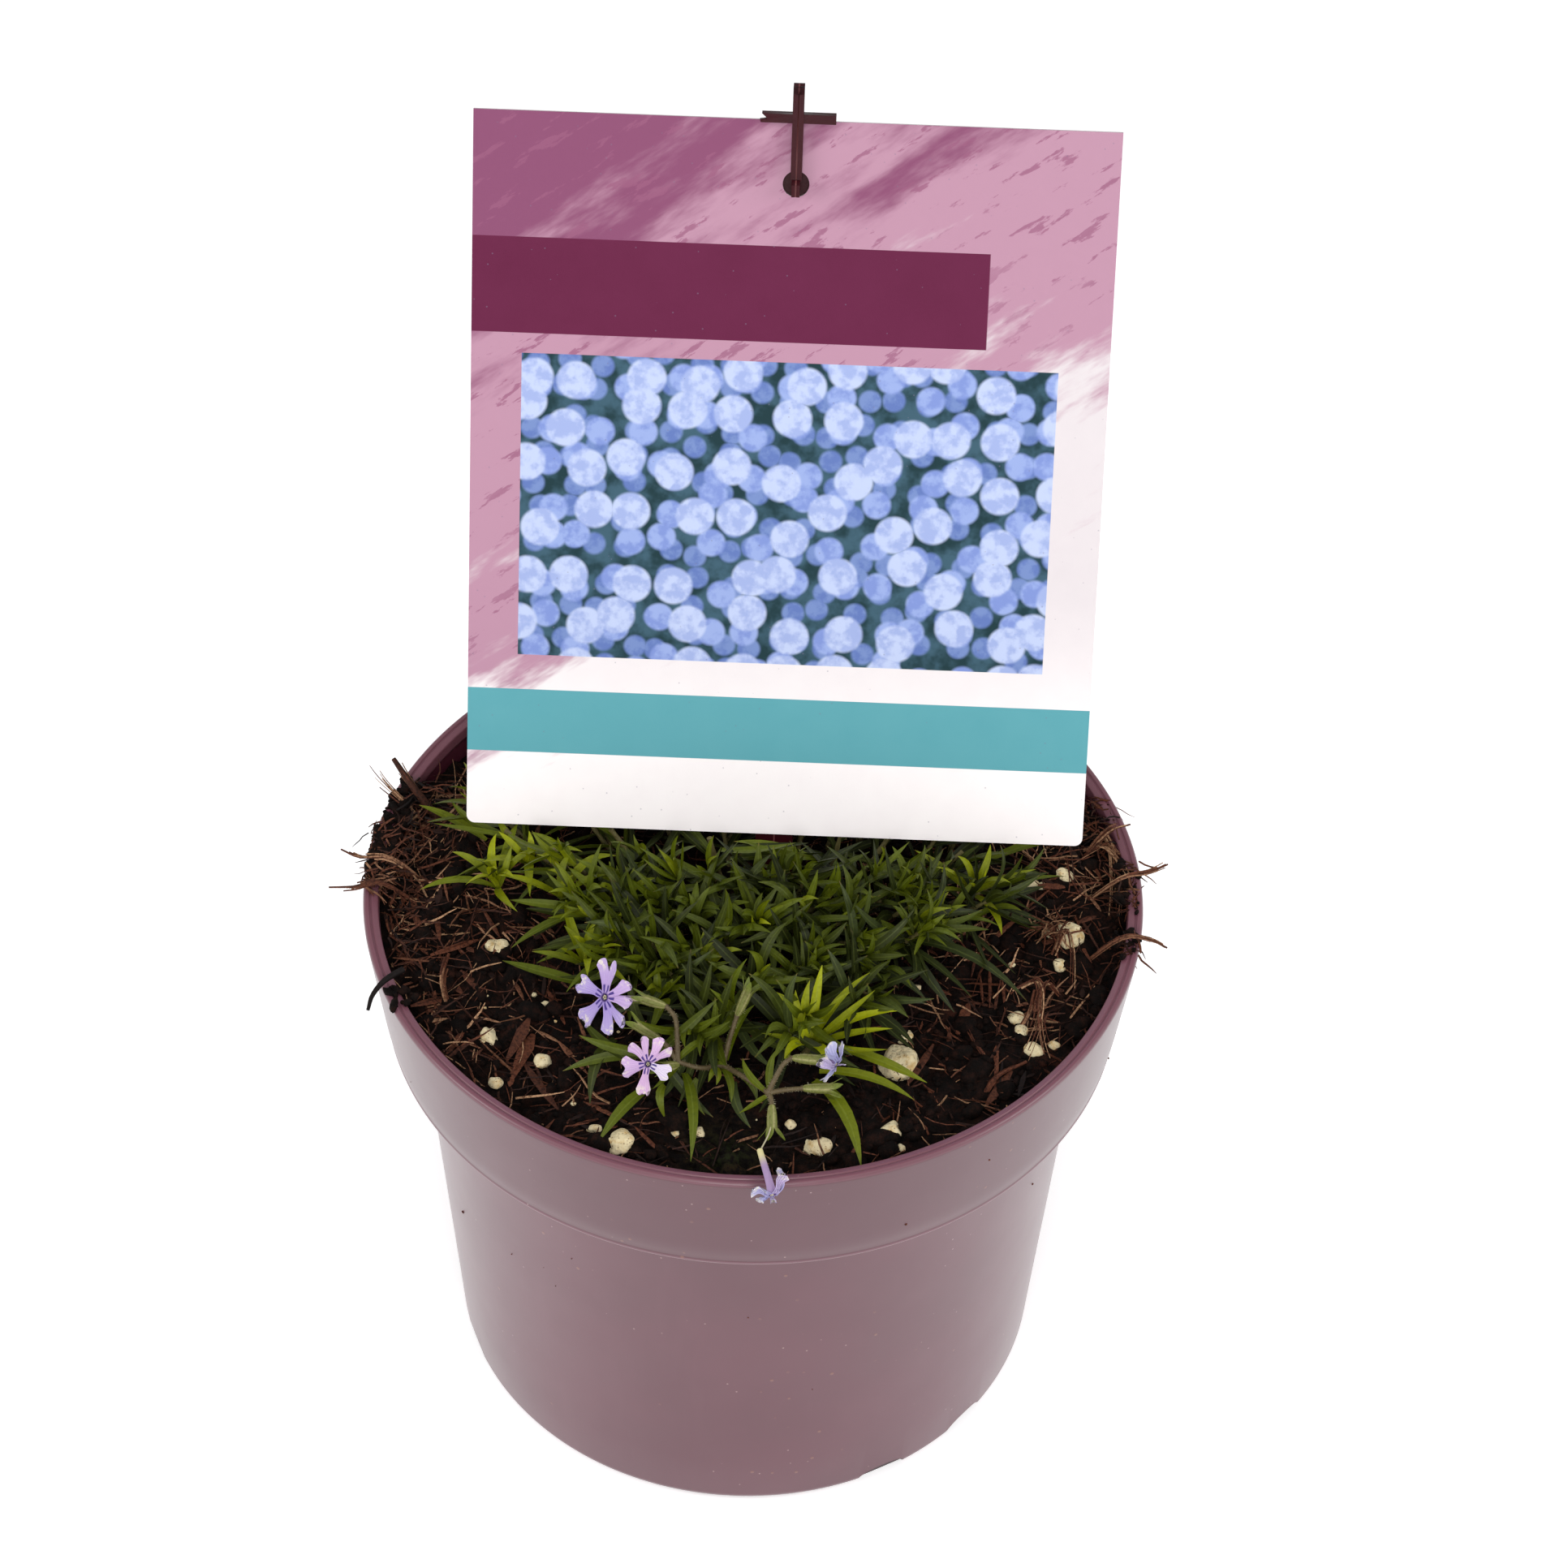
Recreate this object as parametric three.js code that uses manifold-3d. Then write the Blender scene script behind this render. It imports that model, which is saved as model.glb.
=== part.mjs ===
// Creeping phlox in a 19 cm nursery pot, with a card label hanging on its stake.
// Millimetres, +Z up. The origin is the centre of the pot's underside and -Y is the front.

import * as THREE from 'three';
import { mergeVertices } from 'three/addons/utils/BufferGeometryUtils.js';
import Module from 'manifold-3d';

const wasm = await Module();
wasm.setup();

// ---------------------------------------------------------------- driving dimensions

const RIM_RADIUS = 95;
const POT_HEIGHT = 147;
const WALL = 1.2;
const LIP_WIDTH = 4;
const COLLAR_EDGE_RADIUS = 90.4;
const COLLAR_EDGE_Z = 113.5;
const BODY_TOP_RADIUS = 82.5;
const FOOT_BEND_RADIUS = 76;
const FOOT_BEND_Z = 24;
const FOOT_RADIUS = 72.6;
const FLOOR_RAISE = 3.2;
const POT_SIDES = 40;

const NOTCH_WIDTH = 13;
const NOTCH_HEIGHT = 4.4;
const NOTCH_REACH = [70, 78];
const NOTCH_PAIR_AZIMUTHS = [-50, 70, 190];
const NOTCH_PAIR_SPREAD = 10.6;

const SOIL_LEVEL = 138.6;
const SOIL_EDGE_RADIUS = 91.3;
const CHIP_COUNT = 18;
const CLEARANCE = 0.3;

const LABEL_WIDTH = 150;
const LABEL_HEIGHT = 177;
const LABEL_THICKNESS = 0.7;
const LABEL_LEAN = 23.7;
const LABEL_YAW = -1;
const LABEL_FOOT = new THREE.Vector3(4.6, 9.4, 156.6);
const LABEL_HOLE_HEIGHT = 162;
const LABEL_HOLE_RADIUS = 3.1;
const LABEL_CORNER_RADIUS = 2;

const STAKE_WIDTH = 9;
const STAKE_THICKNESS = 1.8;
const STAKE_DEPTH_BELOW_LABEL = 62;
const HOOK_WIDTH = 2.6;
const HOOK_RISE = 8.2;
const HOOK_THICKNESS = 1.6;
const CROSS_BAR_WIDTH = 17.6;
const CROSS_BAR_HEIGHT = 2.1;
const CROSS_BAR_DROP = 0.35;

const CROWN = new THREE.Vector2(0, -2);
const SHOOT_COUNT = 36;
const LEAF_LENGTH = 21;
const LEAF_WIDTH = 2.3;
const LEAF_KEEL = 0.9;
const STEM_RADIUS = 0.95;
const LEAF_SPACING = 2.55;
const CARD_SIGHT = LABEL_FOOT.y + LABEL_FOOT.z - 1;

const STALK_RADIUS = 0.62;
const CALYX_RADIUS = 1.15;
const SEPAL_LENGTH = 3.2;
const BLOOM_RADIUS = 8.2;
const TUBE_RADIUS = 0.62;
const MOUTH_REACH = 0.2;
const PETAL_THICKNESS = 0.7;

const UP = new THREE.Vector3(0, 0, 1);

// ---------------------------------------------------------------- materials

function finish(colour, roughness) {
  return new THREE.MeshStandardMaterial({ color: colour, roughness, metalness: 0 });
}

const POT_PLASTIC = finish(0x866b74, 0.5);
const PEAT = finish(0x2a1a14, 0.95);
const LEAF_GREEN = finish(0x4f7020, 0.55);
const STALK_GREEN = finish(0x5f5c33, 0.65);
const PETAL_LAVENDER = finish(0xa99fdc, 0.7);
const PETAL_WILTED = finish(0x9fa8e0, 0.75);
const STAKE_PLASTIC = finish(0x4b1a22, 0.45);
const LABEL_CARD = finish(0xe0b8cb, 0.5);

// ---------------------------------------------------------------- helpers

const radians = THREE.MathUtils.degToRad;

/** A repeatable stream of numbers from 0 up to 1. */
function randomSource(seed) {
  let state = seed >>> 0;
  return () => {
    state = (Math.imul(state, 1664525) + 1013904223) >>> 0;
    return state / 4294967296;
  };
}

/** A closed three.js geometry as a manifold solid. */
function solidOf(geometry) {
  const bare = geometry.clone();
  bare.deleteAttribute('normal');
  bare.deleteAttribute('uv');
  const merged = mergeVertices(bare, 1e-4);
  const index = merged.index.array;
  const kept = [];
  for (let i = 0; i < index.length; i += 3) {
    const [a, b, c] = [index[i], index[i + 1], index[i + 2]];
    if (a !== b && b !== c && c !== a) kept.push(a, b, c);
  }
  return new wasm.Manifold(new wasm.Mesh({
    numProp: 3,
    vertProperties: Float32Array.from(merged.attributes.position.array),
    triVerts: Uint32Array.from(kept),
  }));
}

function joined(solids) {
  return solids.reduce((whole, piece) => whole.add(piece));
}

/** A named mesh from a manifold solid. */
function meshOf(name, solid, material) {
  const { vertProperties, triVerts } = solid.getMesh();
  const geometry = new THREE.BufferGeometry();
  geometry.setAttribute('position', new THREE.BufferAttribute(Float32Array.from(vertProperties), 3));
  geometry.setIndex(Array.from(triVerts));
  geometry.computeVertexNormals();
  const mesh = new THREE.Mesh(geometry, material);
  mesh.name = name;
  return mesh;
}

/** Skins a row of rings, each with the same number of points, and closes both ends. */
function loft(rings) {
  const sides = rings[0].length;
  const positions = [];
  const index = [];
  for (const ring of rings) {
    for (const point of ring) positions.push(point.x, point.y, point.z);
  }
  for (let r = 0; r < rings.length - 1; r += 1) {
    for (let s = 0; s < sides; s += 1) {
      const next = (s + 1) % sides;
      const [a, b] = [r * sides + s, r * sides + next];
      const [c, d] = [a + sides, b + sides];
      index.push(a, b, d, a, d, c);
    }
  }
  const last = (rings.length - 1) * sides;
  for (let s = 1; s < sides - 1; s += 1) {
    index.push(0, s + 1, s);
    index.push(last, last + s, last + s + 1);
  }
  const geometry = new THREE.BufferGeometry();
  geometry.setAttribute('position', new THREE.Float32BufferAttribute(positions, 3));
  geometry.setIndex(index);
  return geometry;
}

/** Two directions square to the given one. */
function squareTo(direction) {
  const reference = Math.abs(direction.z) > 0.9 ? new THREE.Vector3(1, 0, 0) : UP;
  const side = new THREE.Vector3().crossVectors(direction, reference).normalize();
  const over = new THREE.Vector3().crossVectors(side, direction);
  return [side, over];
}

function ringOf(centre, side, over, radius, sides) {
  return Array.from({ length: sides }, (_, s) => {
    const angle = (s / sides) * Math.PI * 2;
    return centre.clone()
      .addScaledVector(side, -radius * Math.cos(angle))
      .addScaledVector(over, radius * Math.sin(angle));
  });
}

/** A closed rod that bends at each of the given points, its rings carried along untwisted. */
function rod(points, radius, sides) {
  const last = points.length - 1;
  const directions = points.map((_, i) => {
    const [before, after] = [points[Math.max(i - 1, 0)], points[Math.min(i + 1, last)]];
    return new THREE.Vector3().subVectors(after, before).normalize();
  });
  let [side] = squareTo(directions[0]);
  return loft(points.map((point, i) => {
    side = side.clone().addScaledVector(directions[i], -side.dot(directions[i])).normalize();
    const over = new THREE.Vector3().crossVectors(side, directions[i]);
    return ringOf(point, side, over, radius, sides);
  }));
}

function box(width, depth, height, place) {
  return new THREE.BoxGeometry(width, depth, height).applyMatrix4(place);
}

function placed(position, rotation = new THREE.Euler()) {
  const turn = new THREE.Quaternion().setFromEuler(rotation);
  return new THREE.Matrix4().compose(position, turn, new THREE.Vector3(1, 1, 1));
}

// ---------------------------------------------------------------- pot

/** Height of the pot's wall against its outer radius, from the lip down to the foot. */
function potProfile() {
  const bodyTopZ = COLLAR_EDGE_Z - 6;
  const lipInner = RIM_RADIUS - LIP_WIDTH;
  const outer = [
    [0, 0],
    [22, 0],
    [25, FLOOR_RAISE],
    [60, FLOOR_RAISE],
    [63.5, 0],
    [FOOT_RADIUS, 0],
    [74.2, 1.8],
    [FOOT_BEND_RADIUS, FOOT_BEND_Z],
    [BODY_TOP_RADIUS, bodyTopZ],
    [86.8, bodyTopZ + 2.8],
    [COLLAR_EDGE_RADIUS, COLLAR_EDGE_Z],
    [91.4, COLLAR_EDGE_Z + 4.5],
    [93.7, POT_HEIGHT - 5.4],
    [RIM_RADIUS, POT_HEIGHT - 3.4],
    [RIM_RADIUS, POT_HEIGHT - 0.7],
    [94.3, POT_HEIGHT],
  ];
  const inner = [
    [lipInner + 0.4, POT_HEIGHT - 0.6],
    [lipInner, POT_HEIGHT - 3.4],
    [92.4, POT_HEIGHT - 5.6],
    [88.9, COLLAR_EDGE_Z + 0.9],
    [BODY_TOP_RADIUS - WALL, bodyTopZ + 1],
    [FOOT_BEND_RADIUS - WALL, FOOT_BEND_Z],
    [71.8, WALL],
    [64.2, WALL],
    [60.6, FLOOR_RAISE + WALL],
    [24.4, FLOOR_RAISE + WALL],
    [21.4, WALL],
    [0, WALL],
  ];
  return [...outer, ...inner].map(([r, z]) => new THREE.Vector2(r, z));
}

/** Turns a profile of radius and height about the upright axis. */
function turned(profile, sides) {
  return new THREE.LatheGeometry(profile, sides).rotateX(Math.PI / 2);
}

/** The pot with pairs of drain notches cut through the outer wall at its foot. */
function potSolid() {
  const [inner, outer] = NOTCH_REACH;
  let solid = solidOf(turned(potProfile(), POT_SIDES));
  for (const middle of NOTCH_PAIR_AZIMUTHS) {
    for (const side of [-1, 1]) {
      const azimuth = radians(middle + side * NOTCH_PAIR_SPREAD);
      const where = new THREE.Vector3(Math.cos(azimuth), Math.sin(azimuth), 0);
      where.multiplyScalar((inner + outer) / 2).setZ(NOTCH_HEIGHT / 2 - 1);
      const place = placed(where, new THREE.Euler(0, 0, azimuth));
      solid = solid.subtract(solidOf(box(outer - inner, NOTCH_WIDTH, NOTCH_HEIGHT + 2, place)));
    }
  }
  return solid;
}

// ---------------------------------------------------------------- soil

/** A smooth bump of the given height and spread. */
function heap(x, y, centreX, centreY, height, spread) {
  const distance = Math.hypot(x - centreX, y - centreY) / spread;
  return height * Math.exp(-distance * distance);
}

/** The soil's height: heaped at both sides, low along the front wall, lumpy all over. */
function soilHeight(x, y) {
  const heaps = heap(x, y, -74, 8, 6, 22) + heap(x, y, 76, 10, 5, 20) + heap(x, y, 0, 8, 2.5, 40);
  const hollow = heap(x, y, 10, -88, 2.5, 26) + heap(x, y, -48, -52, 2, 16);
  const broad = 0.9 * Math.sin(0.11 * x + 0.6) * Math.cos(0.13 * y - 0.4);
  const fine = 0.4 * Math.sin(0.27 * x + 0.16 * y) * Math.cos(0.23 * y - 0.12 * x);
  return SOIL_LEVEL + heaps - hollow + broad + fine;
}

/** The wall of soil against the pot, then the relief on top, as rings from the floor up. */
function soilBody() {
  const sides = 32;
  const wall = [[71.6, FLOOR_RAISE + WALL + CLEARANCE], [74.3, FOOT_BEND_Z], [80.3, 108.4], [87.8, 115.4]];
  const reliefRadii = [SOIL_EDGE_RADIUS, 86, 78, 69, 59, 49, 38, 26, 13];
  const ringAt = (radius, heightOf) => Array.from({ length: sides }, (_, s) => {
    const angle = (s / sides) * Math.PI * 2;
    const [x, y] = [radius * Math.cos(angle), radius * Math.sin(angle)];
    return new THREE.Vector3(x, y, heightOf(x, y));
  });
  const rings = wall.map(([radius, z]) => ringAt(radius, () => z));
  for (const radius of reliefRadii) {
    const edge = radius === SOIL_EDGE_RADIUS;
    rings.push(ringAt(radius, (x, y) => (edge ? Math.min(soilHeight(x, y), 140.2) : soilHeight(x, y))));
  }
  return solidOf(loft(rings));
}

/** Perlite lumps: position, size and how far each stands out of the soil. */
const LUMPS = [
  { x: 36, y: -47.5, size: 5 },
  { x: 77, y: -8.5, size: 3.6 },
  { x: 34, y: -70, size: 2.9 },
  { x: 17, y: -73.5, size: 3 },
  { x: -29, y: -77.5, size: 3 },
  { x: -61.5, y: -16, size: 2.6 },
  { x: 76, y: 10, size: 2.3 },
  { x: 37, y: -39.5, size: 2 },
  { x: -62, y: -44, size: 2.4 },
  { x: 64, y: -34, size: 2.2 },
  { x: 68, y: -44, size: 2.2 },
  { x: -40, y: 72, size: 3 },
  { x: 30, y: 76, size: 2.6 },
  { x: 62, y: 52, size: 2.8 },
  { x: -68, y: 42, size: 2.4 },
];

function lumpSolid({ x, y, size }, draw) {
  const geometry = new THREE.IcosahedronGeometry(size, 0);
  geometry.scale(1 + 0.35 * draw(), 0.8 + 0.3 * draw(), 0.75);
  geometry.rotateZ(Math.PI * draw());
  return solidOf(geometry.translate(x, y, soilHeight(x, y)));
}

/** A flat splinter of wood lying half in the soil. */
function chipSolid(draw) {
  const azimuth = Math.PI * 2 * draw();
  const radius = 64 + 20 * Math.sqrt(draw());
  const [x, y] = [radius * Math.cos(azimuth), radius * Math.sin(azimuth)];
  const turn = new THREE.Euler(0.5 * (draw() - 0.5), 0.5 * (draw() - 0.5), Math.PI * draw());
  const where = new THREE.Vector3(x, y, soilHeight(x, y) + 0.2);
  return solidOf(box(5 + 7 * draw(), 1.3 + 1.2 * draw(), 1.1, placed(where, turn)));
}

/** Stiff root fibres that lean out over the lip on both sides. */
const RIM_FIBRES = [
  [[-79, -2, 138], [-90, -4, 149.5], [-97, -6, 150], [-103, -5, 148.5]],
  [[-78, 4, 138], [-88, 3, 150.5], [-96, 3, 151], [-101, 7, 149.5]],
  [[-75, 23, 138], [-85, 28, 151], [-90, 33, 155.5]],
  [[-74, -27, 134], [-79.5, -30, 147.5], [-86, -35, 149.4], [-89.5, -40, 148.8], [-90.5, -44, 147.4]],
  [[79, 4, 138], [89, 3, 150.5], [96, 5, 151], [101, 9, 150]],
  [[79, -14, 136], [89, -16, 149.5], [96, -16.5, 149.8], [100, -18, 148.8]],
  [[78, 16, 138], [86, 18, 151], [92, 19, 153.5]],
];

function fibreSolid(points) {
  return solidOf(rod(points.map((p) => new THREE.Vector3(...p)), 0.6, 3));
}

/** Stout splinters that lean in the soil near the wall. */
const TWIGS = [
  [[58, -44, 133], [66, -37, 143], [68, -30, 145.5]],
  [[-70, -38, 133], [-74, -30, 142.5], [-73, -21, 143]],
  [[52, -62, 129], [58, -55, 140.5], [66, -49, 141]],
];

function soilSolid(stems) {
  const draw = randomSource(41);
  const pieces = [soilBody()];
  for (const lump of LUMPS) pieces.push(lumpSolid(lump, draw));
  for (let i = 0; i < CHIP_COUNT; i += 1) pieces.push(chipSolid(draw));
  for (const points of [...RIM_FIBRES, ...TWIGS]) pieces.push(fibreSolid(points));
  let solid = joined(pieces);
  for (const { x, y, radius, bottom } of stems) {
    const hole = new THREE.CylinderGeometry(radius, radius, 24, 5).rotateX(Math.PI / 2);
    solid = solid.subtract(solidOf(hole.translate(x, y, bottom + 12)));
  }
  const slot = stakeShaft(CLEARANCE + 0.05).applyMatrix4(labelFrame());
  return solid.subtract(solidOf(slot));
}

// ---------------------------------------------------------------- label and stake

/** From the label's own frame (X across, Y up the card, Z out of its face) to the part's. */
function labelFrame() {
  const across = new THREE.Vector3(Math.cos(radians(LABEL_YAW)), Math.sin(radians(LABEL_YAW)), 0);
  const back = new THREE.Vector3(-across.y, across.x, 0);
  const lean = radians(LABEL_LEAN);
  const upward = back.multiplyScalar(Math.sin(lean)).addScaledVector(UP, Math.cos(lean));
  const outward = new THREE.Vector3().crossVectors(across, upward);
  return new THREE.Matrix4().makeBasis(across, upward, outward).setPosition(LABEL_FOOT);
}

/** The card: square at the top, rounded at the lower corners, with a punched hole. */
function labelSolid() {
  const half = LABEL_WIDTH / 2;
  const corner = LABEL_CORNER_RADIUS;
  const outline = new THREE.Shape();
  outline.moveTo(-half + corner, 0);
  outline.lineTo(half - corner, 0);
  outline.absarc(half - corner, corner, corner, -Math.PI / 2, 0, false);
  outline.lineTo(half, LABEL_HEIGHT);
  outline.lineTo(-half, LABEL_HEIGHT);
  outline.lineTo(-half, corner);
  outline.absarc(-half + corner, corner, corner, Math.PI, Math.PI * 1.5, false);
  const hole = new THREE.Path();
  hole.absarc(0, LABEL_HOLE_HEIGHT, LABEL_HOLE_RADIUS, 0, Math.PI * 2, true);
  outline.holes.push(hole);
  const card = new THREE.ExtrudeGeometry(outline, {
    depth: LABEL_THICKNESS, bevelEnabled: false, curveSegments: 5,
  });
  return solidOf(card.translate(0, 0, -LABEL_THICKNESS / 2));
}

const CARD_FACE = LABEL_THICKNESS / 2 + CLEARANCE;
const STAKE_FRONT = -CARD_FACE;
const STAKE_BACK = STAKE_FRONT - STAKE_THICKNESS;
const HOOK_FRONT = CARD_FACE + HOOK_THICKNESS;

/** A block between two corners given in the label's frame. */
function block(low, high) {
  const size = new THREE.Vector3().subVectors(high, low);
  const middle = new THREE.Vector3().addVectors(high, low).multiplyScalar(0.5);
  return new THREE.BoxGeometry(size.x, size.y, size.z).translate(middle.x, middle.y, middle.z);
}

/** A plate with the given outline in the label's plane, from its back to its front depth. */
function plate(outline, back, front) {
  const shape = new THREE.Shape(outline.map(([x, y]) => new THREE.Vector2(x, y)));
  const geometry = new THREE.ExtrudeGeometry(shape, { depth: front - back, bevelEnabled: false });
  return geometry.translate(0, 0, back);
}

/** The flat shaft, pointed at its lower end; extra swells it for the slot that it stands in. */
function stakeShaft(extra) {
  const half = STAKE_WIDTH / 2 + extra;
  const top = LABEL_HEIGHT + 1;
  const bottom = -STAKE_DEPTH_BELOW_LABEL - extra;
  const outline = [
    [-half, top], [-half, bottom + 16], [-1.2, bottom], [1.2, bottom], [half, bottom + 16], [half, top],
  ];
  return plate(outline, STAKE_BACK - extra, STAKE_FRONT + extra);
}

/** The cross bar: it laps the card's front by a thin lip, and its left end is snipped to a tongue. */
function crossBar() {
  const half = CROSS_BAR_WIDTH / 2;
  const low = LABEL_HEIGHT - CROSS_BAR_DROP;
  const top = low + CROSS_BAR_HEIGHT;
  const rest = LABEL_HEIGHT + CLEARANCE;
  const snip = [[-half + 0.45, top], [-half + 1.7, low + 0.95]];
  const lip = [[half, low], [half, top], ...snip, [-half, low + 0.75], [-half + 0.2, low]];
  const backing = [[half, rest], [half, top], ...snip, [-half + 1.7, rest]];
  return [
    plate(lip, CARD_FACE, HOOK_FRONT - 0.4),
    plate(backing, STAKE_FRONT - 0.35, CARD_FACE + 0.2),
  ];
}

/** Shaft, cross bar, and the hook that passes over the card's edge and into its hole. */
function stakeSolid() {
  const at = (x, y, z) => new THREE.Vector3(x, y, z);
  const half = HOOK_WIDTH / 2;
  const hookTop = LABEL_HEIGHT + HOOK_RISE;
  const pegLow = LABEL_HOLE_HEIGHT - 2.2;
  const pegHigh = LABEL_HOLE_HEIGHT + 1.5;
  const pieces = [
    stakeShaft(0),
    ...crossBar(),
    block(at(-half, LABEL_HEIGHT - 1, STAKE_BACK), at(half, hookTop, STAKE_BACK + HOOK_THICKNESS)),
    block(at(-half, hookTop - 1.7, STAKE_BACK), at(half, hookTop, HOOK_FRONT)),
    block(at(-half, pegHigh - 0.4, CARD_FACE), at(half, hookTop, HOOK_FRONT)),
    block(at(-0.95, pegLow, STAKE_FRONT + CLEARANCE), at(0.95, pegHigh, HOOK_FRONT + 1.9)),
  ];
  const groove = block(at(-0.22, -30, STAKE_BACK - 1), at(0.22, LABEL_HEIGHT - 4, STAKE_BACK + 0.5));
  return joined(pieces.map(solidOf)).subtract(solidOf(groove));
}

// ---------------------------------------------------------------- flower spray

/** Stalks of the spray, each a run of points from its lower to its upper end. */
const HUB = [-5.8, -59.9, 149];
const FORK = [4.9, -70.2, 151.2];
const LEFT_FORK = [-16.4, -61.5, 151.5];
const SPRAY_FOOT = [-6, -46, 131];
const STALKS = [
  [SPRAY_FOOT, [-6, -46, 142], [-6, -51, 146.5], HUB],
  [HUB, [-4.5, -56, 153.5], [-2.8, -51.6, 157.5]],
  [HUB, [-0.5, -65.5, 151], FORK],
  [FORK, [6.4, -68.4, 154], [8.3, -66, 156.6], [10.5, -64.8, 157.8]],
  [FORK, [9, -69.8, 152], [13, -69.2, 152]],
  [FORK, [5.6, -71.6, 151], [5.9, -73, 150.2]],
  [HUB, [-11, -62.4, 150.6], LEFT_FORK],
  [LEFT_FORK, [-16.6, -58, 154.5], [-17.2, -54.2, 158.4], [-19.6, -51.8, 160.2]],
  [LEFT_FORK, [-19, -58.6, 153.6], [-21, -57.3, 155]],
];

/** Calyces: where each starts, the way it points, its length and how far its sepals open. */
const CALYCES = [
  { from: [-2.9, -51.8, 157.3], to: [-0.5, -48.6, 162], open: 0.5 },
  { from: [10.3, -64.9, 157.7], to: [16, -65.8, 158.2], open: 0.25 },
  { from: [12.8, -69.2, 152], to: [19, -68.7, 151.6], open: 0.45 },
  { from: [5.9, -72.8, 150.3], to: [6.1, -76.8, 146.8], open: 0.8 },
  { from: [-16.2, -62.3, 151.3], to: [-19.8, -65, 153.4], open: 0.3 },
  { from: [-19.4, -51.9, 160.1], to: [-24.6, -50.3, 160.6], open: 0.25 },
  { from: [-20.8, -57.4, 154.9], to: [-26, -55.4, 157], open: 0.45 },
];

const STYLE_THREAD = [[6.1, -76, 147.4], [5.2, -80.3, 147.7], [3.7, -84.35, 147.65]];

/** A cup with five pointed sepals round its mouth and a shallow seat for the tube inside. */
function calyxSolid({ from, to, open }) {
  const base = new THREE.Vector3(...from);
  const mouth = new THREE.Vector3(...to);
  const along = new THREE.Vector3().subVectors(mouth, base).normalize();
  const [side, over] = squareTo(along);
  const middle = base.clone().lerp(mouth, 0.45);
  const crown = ringOf(mouth, side, over, CALYX_RADIUS, 10).map((point, i) => {
    if (i % 2 === 1) return point;
    const outward = point.clone().sub(mouth).normalize();
    return point.addScaledVector(along, SEPAL_LENGTH).addScaledVector(outward, SEPAL_LENGTH * open);
  });
  return solidOf(loft([
    ringOf(base, side, over, 0.6, 10),
    ringOf(middle, side, over, CALYX_RADIUS * 0.95, 10),
    crown,
    ringOf(mouth, side, over, CALYX_RADIUS * 0.6, 10),
  ]));
}

function spraySolid() {
  const toVectors = (points) => points.map((p) => new THREE.Vector3(...p));
  const stalks = STALKS.map((points) => solidOf(rod(toVectors(points), STALK_RADIUS, 4)));
  const thread = solidOf(rod(toVectors(STYLE_THREAD), 0.4, 3));
  return joined([...stalks, ...CALYCES.map(calyxSolid), thread]);
}

// ---------------------------------------------------------------- blooms

/**
 * Blooms: centre of the mouth, the way the flower looks, where its tube starts, the petals'
 * breadth, the size of the whole and how far its first petal is turned round, in degrees. Each
 * of the five petals has its own length and its own bend: 0 flat, 90 shut, below 0 folded back.
 */
const BLOOMS = {
  flower_left: {
    centre: [-33.7, -50.4, 161], looks: [-0.62, -0.5, 0.6], foot: [-24.95, -50.2, 160.55],
    breadth: 1, size: 1.1, spin: -8, lengths: [0.85, 1.04, 0.92, 1, 1], bends: [-6, 8, 16, 2, -4],
  },
  flower_low: {
    centre: [-23, -67.85, 157.4], looks: [-0.35, -0.48, 0.8], foot: [-20.05, -65.2, 153.55],
    breadth: 1, size: 0.88, spin: 39, lengths: [0.96, 0.94, 0.9, 1.04, 0.78], bends: [4, 0, 6, -4, -12],
  },
  flower_wilted: {
    centre: [20.3, -66.9, 158.3], looks: [0.8, -0.45, -0.1], foot: [16.35, -65.86, 158.22],
    breadth: 0.78, size: 0.7, spin: 0, lengths: [0.6, 1, 1, 0.9, 0.9], bends: [-10, -20, -42, -45, -24],
  },
  flower_fallen: {
    centre: [6.4, -97.5, 147.3], looks: [0.2, -0.9, -0.38], foot: [3.4, -84.9, 147.75],
    breadth: 0.5, size: 0.86, spin: 0, lengths: [1.1, 0.85, 1, 0.45, 0.4], bends: [-72, -50, -5, 30, 40],
  },
};

/** Outline of five deeply notched petals that meet round the mouth. */
function petalOutline({ size, breadth, lengths }) {
  const half = [
    [0.46, -0.25 * breadth],
    [0.84, -0.42 * breadth],
    [1, -0.27 * breadth],
    [0.62, 0],
  ];
  const mirrored = half.slice(0, 3).reverse().map(([reach, angle]) => [reach, -angle]);
  const outline = new THREE.Shape();
  lengths.forEach((length, petal) => {
    [[MOUTH_REACH, -Math.PI / 5], ...half, ...mirrored].forEach(([reach, angle], i) => {
      const turn = petal * Math.PI * 0.4 + angle;
      const radius = BLOOM_RADIUS * size * (MOUTH_REACH + (reach - MOUTH_REACH) * length);
      const [x, y] = [radius * Math.cos(turn), radius * Math.sin(turn)];
      if (petal === 0 && i === 0) outline.moveTo(x, y);
      else outline.lineTo(x, y);
    });
  });
  return outline;
}

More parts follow.
